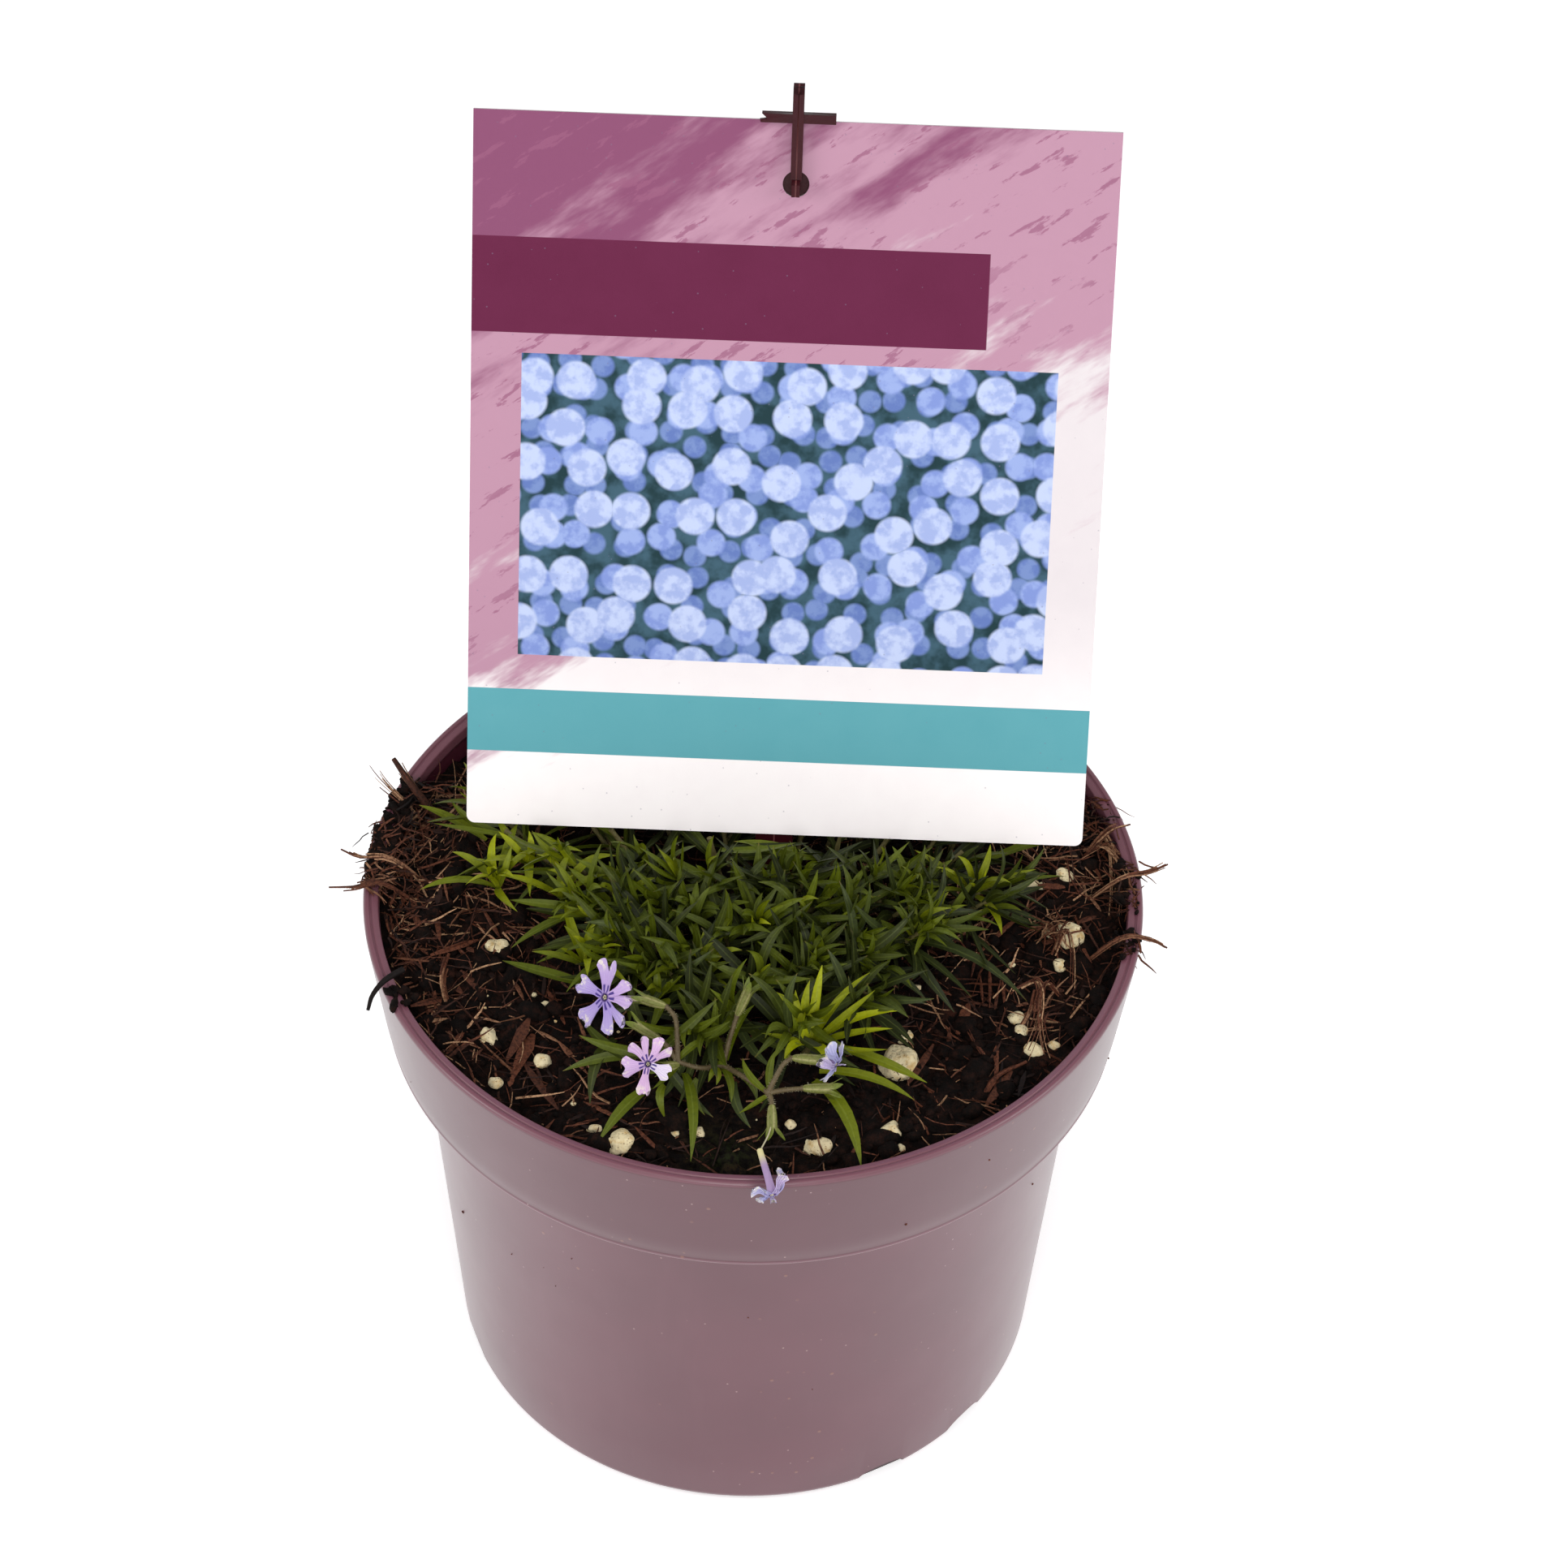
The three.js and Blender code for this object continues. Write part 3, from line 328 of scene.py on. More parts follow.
class Look:
    """One node material. Most calls add a node and hand back its output; paint and darken go
    over the body colour. Colours are three screen values, 0 to 255, or the output of a node."""

    def __init__(self, name, scatter_mm=None, **constants):
        self.material = bpy.data.materials.new(name)
        self.material.use_nodes = True
        self.tree = self.material.node_tree
        self.shader = self.tree.nodes["Principled BSDF"]
        self.body = None
        if scatter_mm:
            constants["Subsurface_Radius"] = [depth * MM for depth in scatter_mm]
        for key, value in constants.items():
            self.shader.inputs[key.replace("_", " ")].default_value = value

    def feed(self, socket, value):
        if isinstance(value, bpy.types.NodeSocket):
            self.tree.links.new(value, socket)
        elif socket.type == "RGBA":
            socket.default_value = (*map(linear, value), 1.0)
        else:
            socket.default_value = value

    def node(self, kind, inputs, output=0, **settings):
        node = self.tree.nodes.new("ShaderNode" + kind)
        for key, value in settings.items():
            setattr(node, key, value)
        for key, value in inputs.items():
            self.feed(node.inputs[key], value)
        return node.outputs[output]

    def place(self, stretch=(1, 1, 1)):
        """Where a point is on the object, stretched along each axis."""
        return self.node("Mapping", {"Vector": self.node("TexCoord", {}, "Object"), "Scale": stretch})

    def values(self, *names):
        return [self.node("Attribute", {}, "Fac", attribute_name=name) for name in names]

    def axis(self, name):
        return self.node("SeparateXYZ", {"Vector": self.place()}, name)

    def noise(self, size_mm, detail=3.0, roughness=0.55, stretch=(1, 1, 1)):
        inputs = {"Vector": self.place(stretch), "Scale": 1 / (size_mm * MM)}
        return self.node("TexNoise", {**inputs, "Detail": detail, "Roughness": roughness})

    def cells(self, size_mm):
        return self.node("TexVoronoi", {"Vector": self.place(), "Scale": 1 / (size_mm * MM)}, "Distance")

    def math(self, operation, first, second=0.0):
        return self.node("Math", {0: first, 1: second}, operation=operation)

    def times(self, first, second):
        return self.math("MULTIPLY", first, second)

    def plus(self, first, second):
        return self.math("ADD", first, second)

    def scaled(self, value, low, high):
        """A value from 0 to 1 brought to the range from low to high."""
        return self.node("MapRange", {"Value": value, "To Min": low, "To Max": high})

    def step(self, value, low, high):
        """0 below low, 1 above high and smooth between; the other way round if low is higher."""
        inputs = {"Value": value, "From Min": low, "From Max": high}
        return self.node("MapRange", inputs, interpolation_type="SMOOTHSTEP")

    def step_mm(self, value, low, high):
        return self.step(value, low * MM, high * MM)

    def within(self, value, low, high, edge):
        """1 between low and high, fading out over the edge on both sides."""
        return self.times(self.step(value, low - edge, low), self.step(value, high + edge, high))

    def mix(self, factor, first, second, blend="MIX"):
        return self.node("MixRGB", {"Fac": factor, "Color1": first, "Color2": second}, blend_type=blend)

    def paint(self, mask, colour, share=None):
        """Lays a colour over the body where the mask is 1."""
        self.body = self.mix(mask if share is None else self.times(mask, share), self.body, colour)

    def darken(self, mask, colour, share=None):
        """Multiplies the body by a colour where the mask is 1."""
        self.paint(mask, self.mix(1.0, self.body, colour, "MULTIPLY"), share)

    def bump(self, height, distance_mm, strength=1.0):
        return self.node("Bump", {"Height": height, "Distance": distance_mm * MM, "Strength": strength})

    def finish(self, roughness, normal=None):
        self.feed(self.shader.inputs["Base Color"], self.body)
        self.feed(self.shader.inputs["Roughness"], roughness)
        if normal is not None:
            self.feed(self.shader.inputs["Normal"], normal)
        return self.material


def pot_look():
    """Satin mauve-brown plastic: flow marks, fine scratches, dust and a few specks of soil; painted shade on
    the collar and in the notch recesses, painted light on the lip and along two edges.
    """
    look = Look("pot_plastic", IOR=1.36, Coat_Weight=1.0, Coat_IOR=1.36, Coat_Roughness=0.3)
    x, y, height = (look.axis(name) for name in "XYZ")
    radius = look.math("SQRT", look.plus(look.times(x, x), look.times(y, y)))
    look.body = look.mix(look.step(look.noise(40, 3, 0.5), 0.3, 0.7), (86, 36, 51), (92, 41, 56))
    look.paint(look.step(look.noise(9, 4, 0.6, (1, 1, 0.12)), 0.5, 0.85), (112, 66, 80), 0.15)
    # Painted shade: everything above the collar's lower edge is darkened, as if the collar caught less light
    # than the body.
    look.paint(look.step_mm(height, 113.6, 114.6), (70, 22, 36), 0.45)
    # Painted shade: the set-back walls inside the drain notches are darkened almost to black.
    look.paint(look.times(look.step_mm(radius, 73, 72.4), look.step_mm(height, 8, 7)), (34, 8, 12), 0.9)
    # Painted light: the lip's top face gets a paler mauve of its own than the collar, for how the light falls
    # on it.
    lip = look.times(look.step_mm(height, POT_HEIGHT - 5, POT_HEIGHT - 3.4),
                     look.step_mm(radius, RIM_RADIUS - 0.4, RIM_RADIUS - 0.7))
    look.paint(lip, (122, 76, 88), 0.85)
    # Painted highlight: a thin pale pink line along the lip's outer edge.
    lip_edge_highlight = look.times(look.step_mm(radius, RIM_RADIUS - 0.75, RIM_RADIUS - 0.5),
                          look.step_mm(height, POT_HEIGHT - 1.1, POT_HEIGHT - 0.7))
    look.paint(lip_edge_highlight, (146, 106, 116), 0.4)
    # Painted highlight: a thin pale line along the collar's lower edge, where the rounded bead catches the
    # light.
    look.paint(look.within(height, 113.1 * MM, 113.9 * MM, 0.4 * MM), (176, 146, 154), 0.22)
    speck = look.times(look.step(look.cells(5.5), 0.11, 0.06), look.step(look.noise(30, 1), 0.54, 0.6))
    look.paint(speck, (150, 104, 78), 0.4)
    dust = look.times(look.step(look.cells(3.1), 0.1, 0.05), look.step(look.noise(22, 1), 0.56, 0.6))
    look.paint(dust, (196, 170, 168), 0.45)
    surface = look.plus(look.times(look.noise(0.35, 2, 0.6), 0.3), look.times(speck, 1.5))
    return look.finish(look.scaled(look.noise(14, 5, 0.65), 0.38, 0.5), look.bump(surface, 0.05, 0.5))


def peat_look():
    """Dark damp peat: crumbs from near black to red brown, and a little moss at the front."""
    look = Look("peat", IOR=1.4, Specular_IOR_Level=0.2)
    moss, = look.values("moss")
    crumb = look.noise(2.2, 6, 0.7)
    look.body = look.mix(look.step(crumb, 0.42, 0.78), (12, 6, 4), (48, 25, 17))
    look.paint(look.step(look.noise(13, 3), 0.54, 0.75), (60, 30, 20), look.step(crumb, 0.45, 0.6))
    green = look.mix(look.noise(0.8, 2), (16, 20, 8), (40, 52, 20))
    look.paint(moss, green, look.step(crumb, 0.42, 0.62))
    return look.finish(look.scaled(look.noise(1.2, 2), 0.7, 1.0), look.bump(look.noise(0.9, 5, 0.75), 0.8))


def fibre_look():
    """Dry plant fibre and bark: black and dark red brown to pale tan, streaked along the grain."""
    look = Look("fibre", IOR=1.45, Specular_IOR_Level=0.3)
    tone, = look.values("tone")
    grain = look.noise(0.7, 4, 0.7)
    look.body = look.mix(look.step(tone, 0.0, 0.5), (20, 10, 8), (104, 58, 38))
    look.paint(look.step(tone, 0.5, 1.0), (190, 148, 112))
    look.darken(look.step(grain, 0.4, 0.68), (136, 118, 108))
    return look.finish(0.72, look.bump(grain, 0.18))


def perlite_look():
    """Porous mineral lumps: cream, with yellow and brown stains in the pits."""
    look = Look("perlite", (1, 1, 1), IOR=1.5, Subsurface_Weight=0.08)
    pits = look.cells(0.9)
    look.body = look.mix(look.step(look.noise(2.4, 4, 0.6), 0.48, 0.72), (232, 216, 174), (206, 172, 112))
    look.paint(look.step(pits, 0.3, 0.1), (120, 84, 52), 0.7)
    return look.finish(0.85, look.bump(look.plus(pits, look.noise(0.6, 3, 0.6)), 0.2))


def leaf_look():
    """Needle leaves: yellow-green when young, deep green when old, with a painted grey-green sheen on some,
    greyer when old.
    """
    look = Look("leaf", (0.6, 1.0, 0.2), IOR=1.42, Specular_IOR_Level=0.28, Subsurface_Weight=0.08)
    age, tone, along, across = look.values("age", "tone", "along", "across")
    mottle = look.noise(1.1, 4, 0.65)
    look.body = look.mix(look.step(age, 0.0, 0.42), (156, 162, 8), (86, 96, 8))
    look.paint(look.step(age, 0.38, 0.95), (35, 41, 8))
    # Painted sheen: some leaves, picked by their tone, get a pale grey-green cast that stands in for a soft
    # highlight.
    painted_sheen = look.mix(look.step(age, 0.3, 0.8), (110, 119, 30), (76, 87, 46))
    look.paint(look.step(tone, 0.6, 1.0), painted_sheen, 0.5)
    pale_base = look.times(look.step(along, 0.28, 0.0), look.step(age, 0.45, 0.15))
    look.paint(pale_base, (140, 146, 40), 0.5)
    look.paint(look.step(across, 0.2, 0.04), look.mix(0.5, look.body, (150, 164, 80)), 0.25)
    worn_tip = look.times(look.step(along, 0.93, 1.0), look.step(tone, 0.3, 0.9))
    look.paint(worn_tip, (120, 92, 44), 0.6)
    look.darken(look.step(mottle, 0.4, 0.75), (140, 150, 120), 0.35)
    spots = look.times(look.step(look.noise(0.55, 2, 0.6), 0.7, 0.76), look.step(age, 0.4, 0.8))
    look.paint(spots, (92, 60, 40), 0.6)
    return look.finish(look.scaled(mottle, 0.36, 0.58), look.bump(look.noise(0.5, 3, 0.6), 0.08))


def stalk_look():
    """Flower stalks, cups and old stems: green, flushed brown-mauve where they are old."""
    look = Look("stalk", (0.6, 0.8, 0.3), IOR=1.42, Subsurface_Weight=0.12)
    flush, along, membrane = look.values("flush", "along", "membrane")
    streak = look.noise(0.6, 4, 0.65)
    look.body = look.mix(flush, (128, 138, 60), (92, 70, 56))
    look.paint(look.step(along, 0.6, 1.0), (112, 132, 40), 0.6)
    look.paint(membrane, (196, 186, 134), 0.5)
    look.darken(look.step(streak, 0.42, 0.7), (160, 140, 120), 0.5)
    return look.finish(0.55, look.bump(streak, 0.1))


def hair_look():
    """Short clear hairs and dried threads."""
    look = Look("hair", (0.5, 0.5, 0.4), IOR=1.4, Subsurface_Weight=0.2)
    look.body = look.mix(look.noise(0.8, 2), (170, 160, 128), (206, 198, 168))
    return look.finish(0.5)


def petal_look(name, tip, middle, wilted=0.0):
    """Petals: two violet dashes each at the eye, lavender to lilac, with pale damage at the ends."""
    look = Look(name, (0.8, 0.6, 1.0), IOR=1.4, Specular_IOR_Level=0.3, Subsurface_Weight=0.2,
                Sheen_Weight=0.1)
    reach, across, pink, pale = look.values("reach", "across", "pink", "pale")
    mottle = look.noise(1.3, 3, 0.6)
    veins = look.math("SINE", look.times(across, 21.0))
    look.body = look.mix(look.step(reach, 0.25, 0.95), middle, tip)
    look.paint(pink, (214, 178, 214))
    look.paint(pale, (226, 218, 234))
    look.paint(look.step(veins, 0.6, 1.0), (128, 108, 190), 0.14)
    beside_middle = look.within(look.math("ABSOLUTE", across), 0.32, 0.66, 0.12)
    dashes = look.times(look.within(reach, 0.16, 0.31, 0.05), beside_middle)
    look.paint(dashes, (62, 38, 128), 0.95 - 0.5 * wilted)
    look.paint(look.step(reach, 0.15, 0.11), (92, 66, 140), 0.9)
    worn = look.times(look.step(mottle, 0.5 - 0.06 * wilted, 0.6), look.step(reach, 0.62, 0.86))
    look.paint(worn, (232, 224, 206), 0.75)
    return look.finish(0.6, look.bump(look.plus(look.times(veins, 0.35), mottle), 0.1 + 0.15 * wilted))


def tube_look():
    """The slender flower tube: cream at its foot, lilac towards the mouth, violet inside it."""
    look = Look("flower_tube", (0.8, 0.7, 0.8), IOR=1.4, Specular_IOR_Level=0.3, Subsurface_Weight=0.2)
    along, = look.values("along")
    streak = look.noise(0.7, 3, 0.6)
    look.body = look.mix(look.step(along, 0.06, 0.26), (228, 218, 150), (170, 142, 184))
    look.paint(look.step(along, 0.6, 1.0), (146, 122, 186))
    look.paint(look.step(along, 1.1, 1.5), (66, 42, 122))
    look.paint(streak, (206, 190, 214), 0.25)
    return look.finish(0.55, look.bump(streak, 0.08))


def stake_look():
    """Dark wine-red moulded plastic, glossy, with a painted highlight line down the hook's groove."""
    look = Look("stake_plastic", IOR=1.4, Specular_IOR_Level=0.2, Coat_Weight=0.1, Coat_Roughness=0.15)
    look.body = look.mix(look.noise(6, 4, 0.6), (44, 9, 16), (64, 16, 24))
    yaw = math.radians(LABEL_YAW)
    aside = look.plus(look.times(look.axis("X"), math.cos(yaw)), look.times(look.axis("Y"), math.sin(yaw)))
    middle = (LABEL_FOOT[0] * math.cos(yaw) + LABEL_FOOT[1] * math.sin(yaw)) * MM
    # Painted highlight: a thin pale line down the stake's middle, along the hook's groove.
    look.paint(look.within(aside, middle - 0.1 * MM, middle + 0.1 * MM, 0.12 * MM), (150, 92, 92), 0.5)
    look.paint(look.step(look.noise(1.3, 4, 0.7), 0.64, 0.76), (120, 72, 74), 0.25)
    return look.finish(look.scaled(look.noise(3, 4), 0.25, 0.4), look.bump(look.noise(0.3, 2), 0.03))


# The card's printing is a plain colour layout: a mauve wash, a plum band, a panel of strewn
# dots and a teal band. Places are millimetres from the card's lower edge and middle.

PLUM_BAND = (124, 147)
PLUM_BAND_END = 46
PANEL_X = (-63, 63)
PANEL_Y = (44, 119)
TEAL_BAND = (19, 35)
PRINT_EDGE = 0.15

# The panel's dots, from the lowest layer up: shift, pitch, radius and colour.
DOTS = (
    (0.0, 7.75, 2.7, (116, 138, 190)), (40.0, 10.0, 3.4, (150, 168, 218)), (90.0, 12.5, 4.6, (188, 200, 232)),
)


def strewn_dots(look, x, y, shift, pitch, radius):
    """Round dots with soft edges strewn over the card: how much of a dot each place shows."""
    where = look.node("CombineXYZ", {"X": look.plus(x, shift), "Y": y})
    inputs = {"Vector": where, "Scale": 1 / pitch, "Randomness": 0.6}
    cell = look.node("TexVoronoi", inputs, "Distance", voronoi_dimensions="2D")
    return look.step(look.times(cell, pitch), radius + 0.5, radius - 0.5)


def brushed(look, size_mm, x, y):
    """Streaky noise that runs up to the right over the card."""
    along = look.plus(look.times(x, 0.2), look.times(y, 0.14))
    beside = look.math("SUBTRACT", look.times(y, 0.82), look.times(x, 0.57))
    where = look.node("CombineXYZ", {"X": along, "Y": beside})
    inputs = {"Vector": where, "Scale": 1 / size_mm, "Detail": 5.0, "Roughness": 0.62}
    return look.node("TexNoise", inputs, noise_dimensions="2D")


def card_look():
    """Coated card: printed on the front, plain flecked paper behind and at the cut edges; the paper is
    painted lighter low down and darker higher up.
    """
    look = Look("label_card", IOR=1.5, Specular_IOR_Level=0.1)
    x, y, front = look.values("card_x", "card_y", "front")
    cloudy = look.noise(7, 4, 0.6)
    # Painted light and shade: the paper is lighter near the card's foot and darker higher up, to even out how
    # the lamps light the card.
    paper_painted_lighter = look.mix(cloudy, (255, 250, 249), (250, 243, 243))
    paper_painted_darker = look.mix(cloudy, (224, 216, 218), (217, 209, 212))
    paper = look.mix(look.step(y, 10, 70), paper_painted_lighter, paper_painted_darker)
    wander = look.times(look.math("SUBTRACT", brushed(look, 16, x, y), 0.5), 150)
    slope = look.math("SUBTRACT", look.plus(y, wander), look.times(x, 0.55))
    look.body = look.mix(look.step(slope, 66, 96), paper, (183, 139, 160))
    look.paint(look.step(slope, 142, 184), (134, 76, 108))
    streaks = look.times(look.step(brushed(look, 3.4, x, y), 0.6, 0.66), look.step(slope, 60, 130))
    look.paint(streaks, (146, 88, 118), 0.75)

    ground = look.mix(look.step(look.noise(6, 3), 0.35, 0.65), (30, 56, 62), (62, 92, 108))
    for shift, pitch, radius, colour in DOTS:
        shade = look.mix(1.0, colour, (214, 220, 240), "MULTIPLY")
        dot_colour = look.mix(look.step(look.noise(3.5, 3), 0.4, 0.62), colour, shade)
        ground = look.mix(strewn_dots(look, x, y, shift, pitch, radius), ground, dot_colour)
    look.paint(look.times(look.within(x, *PANEL_X, PRINT_EDGE), look.within(y, *PANEL_Y, PRINT_EDGE)), ground)
    plum = look.mix(look.noise(12, 3), (96, 30, 62), (103, 36, 69))
    look.paint(look.within(y, *PLUM_BAND, PRINT_EDGE), plum, look.step(x, PLUM_BAND_END, PLUM_BAND_END - 0.3))
    teal = look.mix(look.noise(9, 3), (90, 160, 170), (98, 166, 175))
    look.paint(look.within(y, *TEAL_BAND, PRINT_EDGE), teal)

    flecks = look.step(look.cells(3.4), 0.075, 0.04)
    look.paint(flecks, (120, 112, 136), 0.35)
    plain = look.mix(look.times(flecks, 0.25), paper, (150, 140, 150))
    look.body = look.mix(look.step(front, 0.9, 1.0), plain, look.body)
    return look.finish(look.scaled(look.noise(5, 3), 0.42, 0.56), look.bump(look.noise(0.25, 2), 0.015))


def floor_look():
    """A plain pale studio floor."""
    look = Look("floor", IOR=1.4, Emission_Color=(1.0, 1.0, 1.0, 1.0), Emission_Strength=0.4)
    look.body = look.mix(look.noise(60, 3), (250, 250, 250), (246, 246, 247))
    return look.finish(0.9)


# ---------------------------------------------------------------- pot

# The wall from the underside up the outside, over the grooved lip and down the inside: radius,
# height, and how far its corner is eased.
POT_PROFILE = (
    (22, 0, 0), (25, FLOOR_RAISE, 0.8), (60, FLOOR_RAISE, 0.8), (63.5, 0, 0.5), (72.6, 0, 0.9),
    (74.3, 1.9, 1.2), (76, 24, 6), (82.5, 107.5, 2.2), (86.8, 110.3, 1.6), (90.1, 112.8, 0.5),
    (90.75, 113.5, 0.4), (90.6, 114.3, 0.4), (91.4, 118, 3), (94.8, 144.6, 2), (95, 146.3, 0.5),
    (94.4, 147, 0.5), (93.55, 146.95, 0.15), (93.3, 146.5, 0.12), (93.0, 146.5, 0.12), (92.8, 146.8, 0.15),
    (91.3, 146.5, 0.4), (91, 143.6, 0.3), (92.4, 141.4, 0.5), (88.9, 114.4, 1), (81.3, 108.5, 1.5),
    (74.8, 24, 5), (71.8, WALL, 1.2), (64.2, WALL, 0.6), (60.6, FLOOR_RAISE + WALL, 0.6),
    (24.4, FLOOR_RAISE + WALL, 0.6), (21.4, WALL, 0),
)
CORNER_STEPS = 5
ARCH_STEPS = 13
ARCH_RISE = 2.4
RECESS_MARGIN = 2
RECESS_FOOT = 0.3


def rounded(corners):
    """An open outline whose corners (radius, height, cut) are eased over the cut distance."""
    outline = []
    for i, (x, z, cut) in enumerate(corners):
        here = np.array([x, z], dtype=float)
        if cut == 0:
            outline.append(here)
            continue
        before = np.array(corners[i - 1][:2]) - here
        after = np.array(corners[i + 1][:2]) - here
        start = here + before * min(cut / np.linalg.norm(before), 0.48)
        end = here + after * min(cut / np.linalg.norm(after), 0.48)
        outline += [curve(start, here, end, t) for t in np.linspace(0, 1, CORNER_STEPS)]
    return outline


def arched_block(azimuth, reaches, half, foot, top):
    """A radial block with an arched top between two distances from the pot's axis."""
    arch = [vec(half * math.cos(turn), top - ARCH_RISE + ARCH_RISE * math.sin(turn))
            for turn in np.linspace(0, math.pi, ARCH_STEPS)]
    section = [vec(half, foot), *arch, vec(-half, foot)]
    outward, across = polar(1, azimuth), polar(1, azimuth + math.pi / 2)
    return skin([[outward * reach + across * w + UP * z for w, z in section] for reach in reaches])


def build_pot(material):
    """The moulded pot, with its drain notches cut and a set-back wall behind each notch."""
    notches, recesses = Parts(), Parts()
    half = NOTCH_WIDTH / 2
    for middle in NOTCH_PAIR_AZIMUTHS:
        for side in (-1, 1):
            azimuth = math.radians(middle + side * NOTCH_PAIR_SPREAD)
            notches.add(*arched_block(azimuth, NOTCH_REACH, half, -1, NOTCH_HEIGHT))
            recesses.add(*arched_block(azimuth, RECESS_REACH, half + RECESS_MARGIN / 2,
                                       RECESS_FOOT, NOTCH_HEIGHT + RECESS_MARGIN))
    mesh = boolean(solid(lathe(rounded(POT_PROFILE), POT_SIDES)), "DIFFERENCE", notches.mesh())
    mesh = boolean(mesh, "UNION", recesses.mesh())
    make_piece("pot_shell", mesh, material, "pot", ["pot"], crease=32)


# ---------------------------------------------------------------- soil

# Perlite lumps: x, y and size.
LUMPS = (
    (36, -47.5, 5), (77, -8.5, 3.6), (34, -70, 2.9), (17, -73.5, 3), (-29, -77.5, 3),
    (-61.5, -16, 2.6), (76, 10, 2.3), (37, -39.5, 2), (-62, -44, 2.4), (64, -34, 2.2),
    (68, -44, 2.2), (-40, 72, 3), (30, 76, 2.6), (62, 52, 2.8), (-68, 42, 2.4),
)

# Stiff root fibres that lean out over the lip on both sides.
RIM_FIBRES = (
    ((-79, -2, 138), (-90, -4, 149.5), (-97, -6, 150), (-103, -5, 148.5)),
    ((-78, 4, 138), (-88, 3, 150.5), (-96, 3, 151), (-101, 7, 149.5)),
    ((-75, 23, 138), (-85, 28, 151), (-90, 33, 155.5)),
    ((-74, -27, 134), (-79.5, -30, 147.5), (-86, -35, 149.4), (-89.5, -40, 148.8), (-90.5, -44, 147.4)),
    ((79, 4, 138), (89, 3, 150.5), (96, 5, 151), (101, 9, 150)),
    ((79, -14, 136), (89, -16, 149.5), (96, -16.5, 149.8), (100, -18, 148.8)),
    ((78, 16, 138), (86, 18, 151), (92, 19, 153.5)),
)
STUB = 2
BLACK_FIBRE = 3

# Stout splinters that lean in the soil near the wall.
TWIGS = (
    ((58, -44, 133), (66, -37, 143), (68, -30, 145.5)),
    ((-70, -38, 133), (-74, -30, 142.5), (-73, -21, 143)),
    ((52, -62, 129), (58, -55, 140.5), (66, -49, 141)),
)

# Splinters and sticks that lie on the soil: both ends, width and tone from dark to pale.
SPLINTERS = (
    (-51.5, -42.3, -55.6, -57.7, 3.4, 0.42), (-52.6, -38.9, -57.6, -51.6, 2.6, 0.3),
    (-79.8, -39.6, -71.5, -38, 1.4, 0.78), (-57.1, -26.3, -54.1, -33.9, 1.1, 0.6),
    (-48.7, -29.2, -44.1, -39.4, 1.7, 0.45), (-50.6, -41.2, -44.9, -45.7, 1.1, 0.7),
    (-45.3, -45.3, -37.8, -54.2, 1.4, 0.6), (-53.1, -51.7, -44.3, -66.2, 2.1, 0.25),
    (-77.5, -20.1, -66.5, -14, 2.2, 0.5), (-82.5, -0.1, -76.3, 3.1, 0.9, 0.5),
    (-83.6, 4.8, -86.4, -6.1, 1.2, 0.42), (54.1, -14.4, 73.6, 5.7, 1.3, 0.55),
    (49.8, -39.1, 52.6, -29.7, 2.9, 0.4), (59.2, -46, 58.7, -60.8, 1, 0.42),
    (57.6, -18.1, 57.5, -30.6, 0.9, 0.38), (55.4, -20, 55.9, -30, 0.8, 0.4),
    (60.5, -21, 61.2, -33, 0.8, 0.4), (44, -43, 37.5, -56.5, 1.6, 0.3),
    (62.5, -52, 56, -62, 2, 0.3), (-66, -6, -61, -13, 1.2, 0.35), (-70, -24, -64, -31, 1.8, 0.3),
    (-28, -70, -38.5, -62.5, 1.3, 0.55), (-20, -78.5, -26, -72.5, 1.1, 0.4), (24, -79, 29, -70, 1.1, 0.35),
)

# Bundles of pale roots that stand out of the soil or over the lip: a route and how many fibres.
ROOT_BUNDLES = (
    (((74.5, -27, 141), (71, -27.5, 146), (69, -34, 146.5), (69.3, -43, 144), (71, -50, 142.5)), 9),
    (((63, -28, 143), (68.5, -27.5, 146), (69, -36, 145.5), (66, -46, 143), (60.5, -58, 140.5)), 7),
    (((80, 27, 141), (87, 22, 145.5), (88.5, 8, 145), (88.4, -4, 141)), 12),
    (((76, 18, 141), (85, 19, 146), (90, 13, 146.5), (92, 6, 148.5)), 10),
    (((73, -14, 141), (75.5, -10, 146), (76.5, -17, 145.5), (75.8, -28, 141)), 6),
    (((-82, 24, 143), (-89, 26, 149.5), (-93.5, 28, 153.5), (-97, 30, 158)), 9),
)

# Knots of curled fibres on the lip and beside it: middle, spread, count and tone.
TANGLES = (
    ((-90, 10, 147.2), (5, 10, 1.4), 110, 0.3), ((-84, 26, 147), (5, 8, 2), 60, 0.15),
    ((-92.5, 0, 147.8), (3, 4, 1), 50, 0.5), ((-86, -10, 143), (3, 10, 1.5), 50, 0.3),
    ((91.5, 4, 147.2), (3, 8, 1.2), 60, 0.4), ((92, -16, 147), (2.2, 3, 0.8), 24, 0.25),
    ((86, 26, 146.5), (4, 8, 1.5), 60, 0.3), ((74, -7, 144.5), (4, 4, 1.2), 40, 0.6),
)

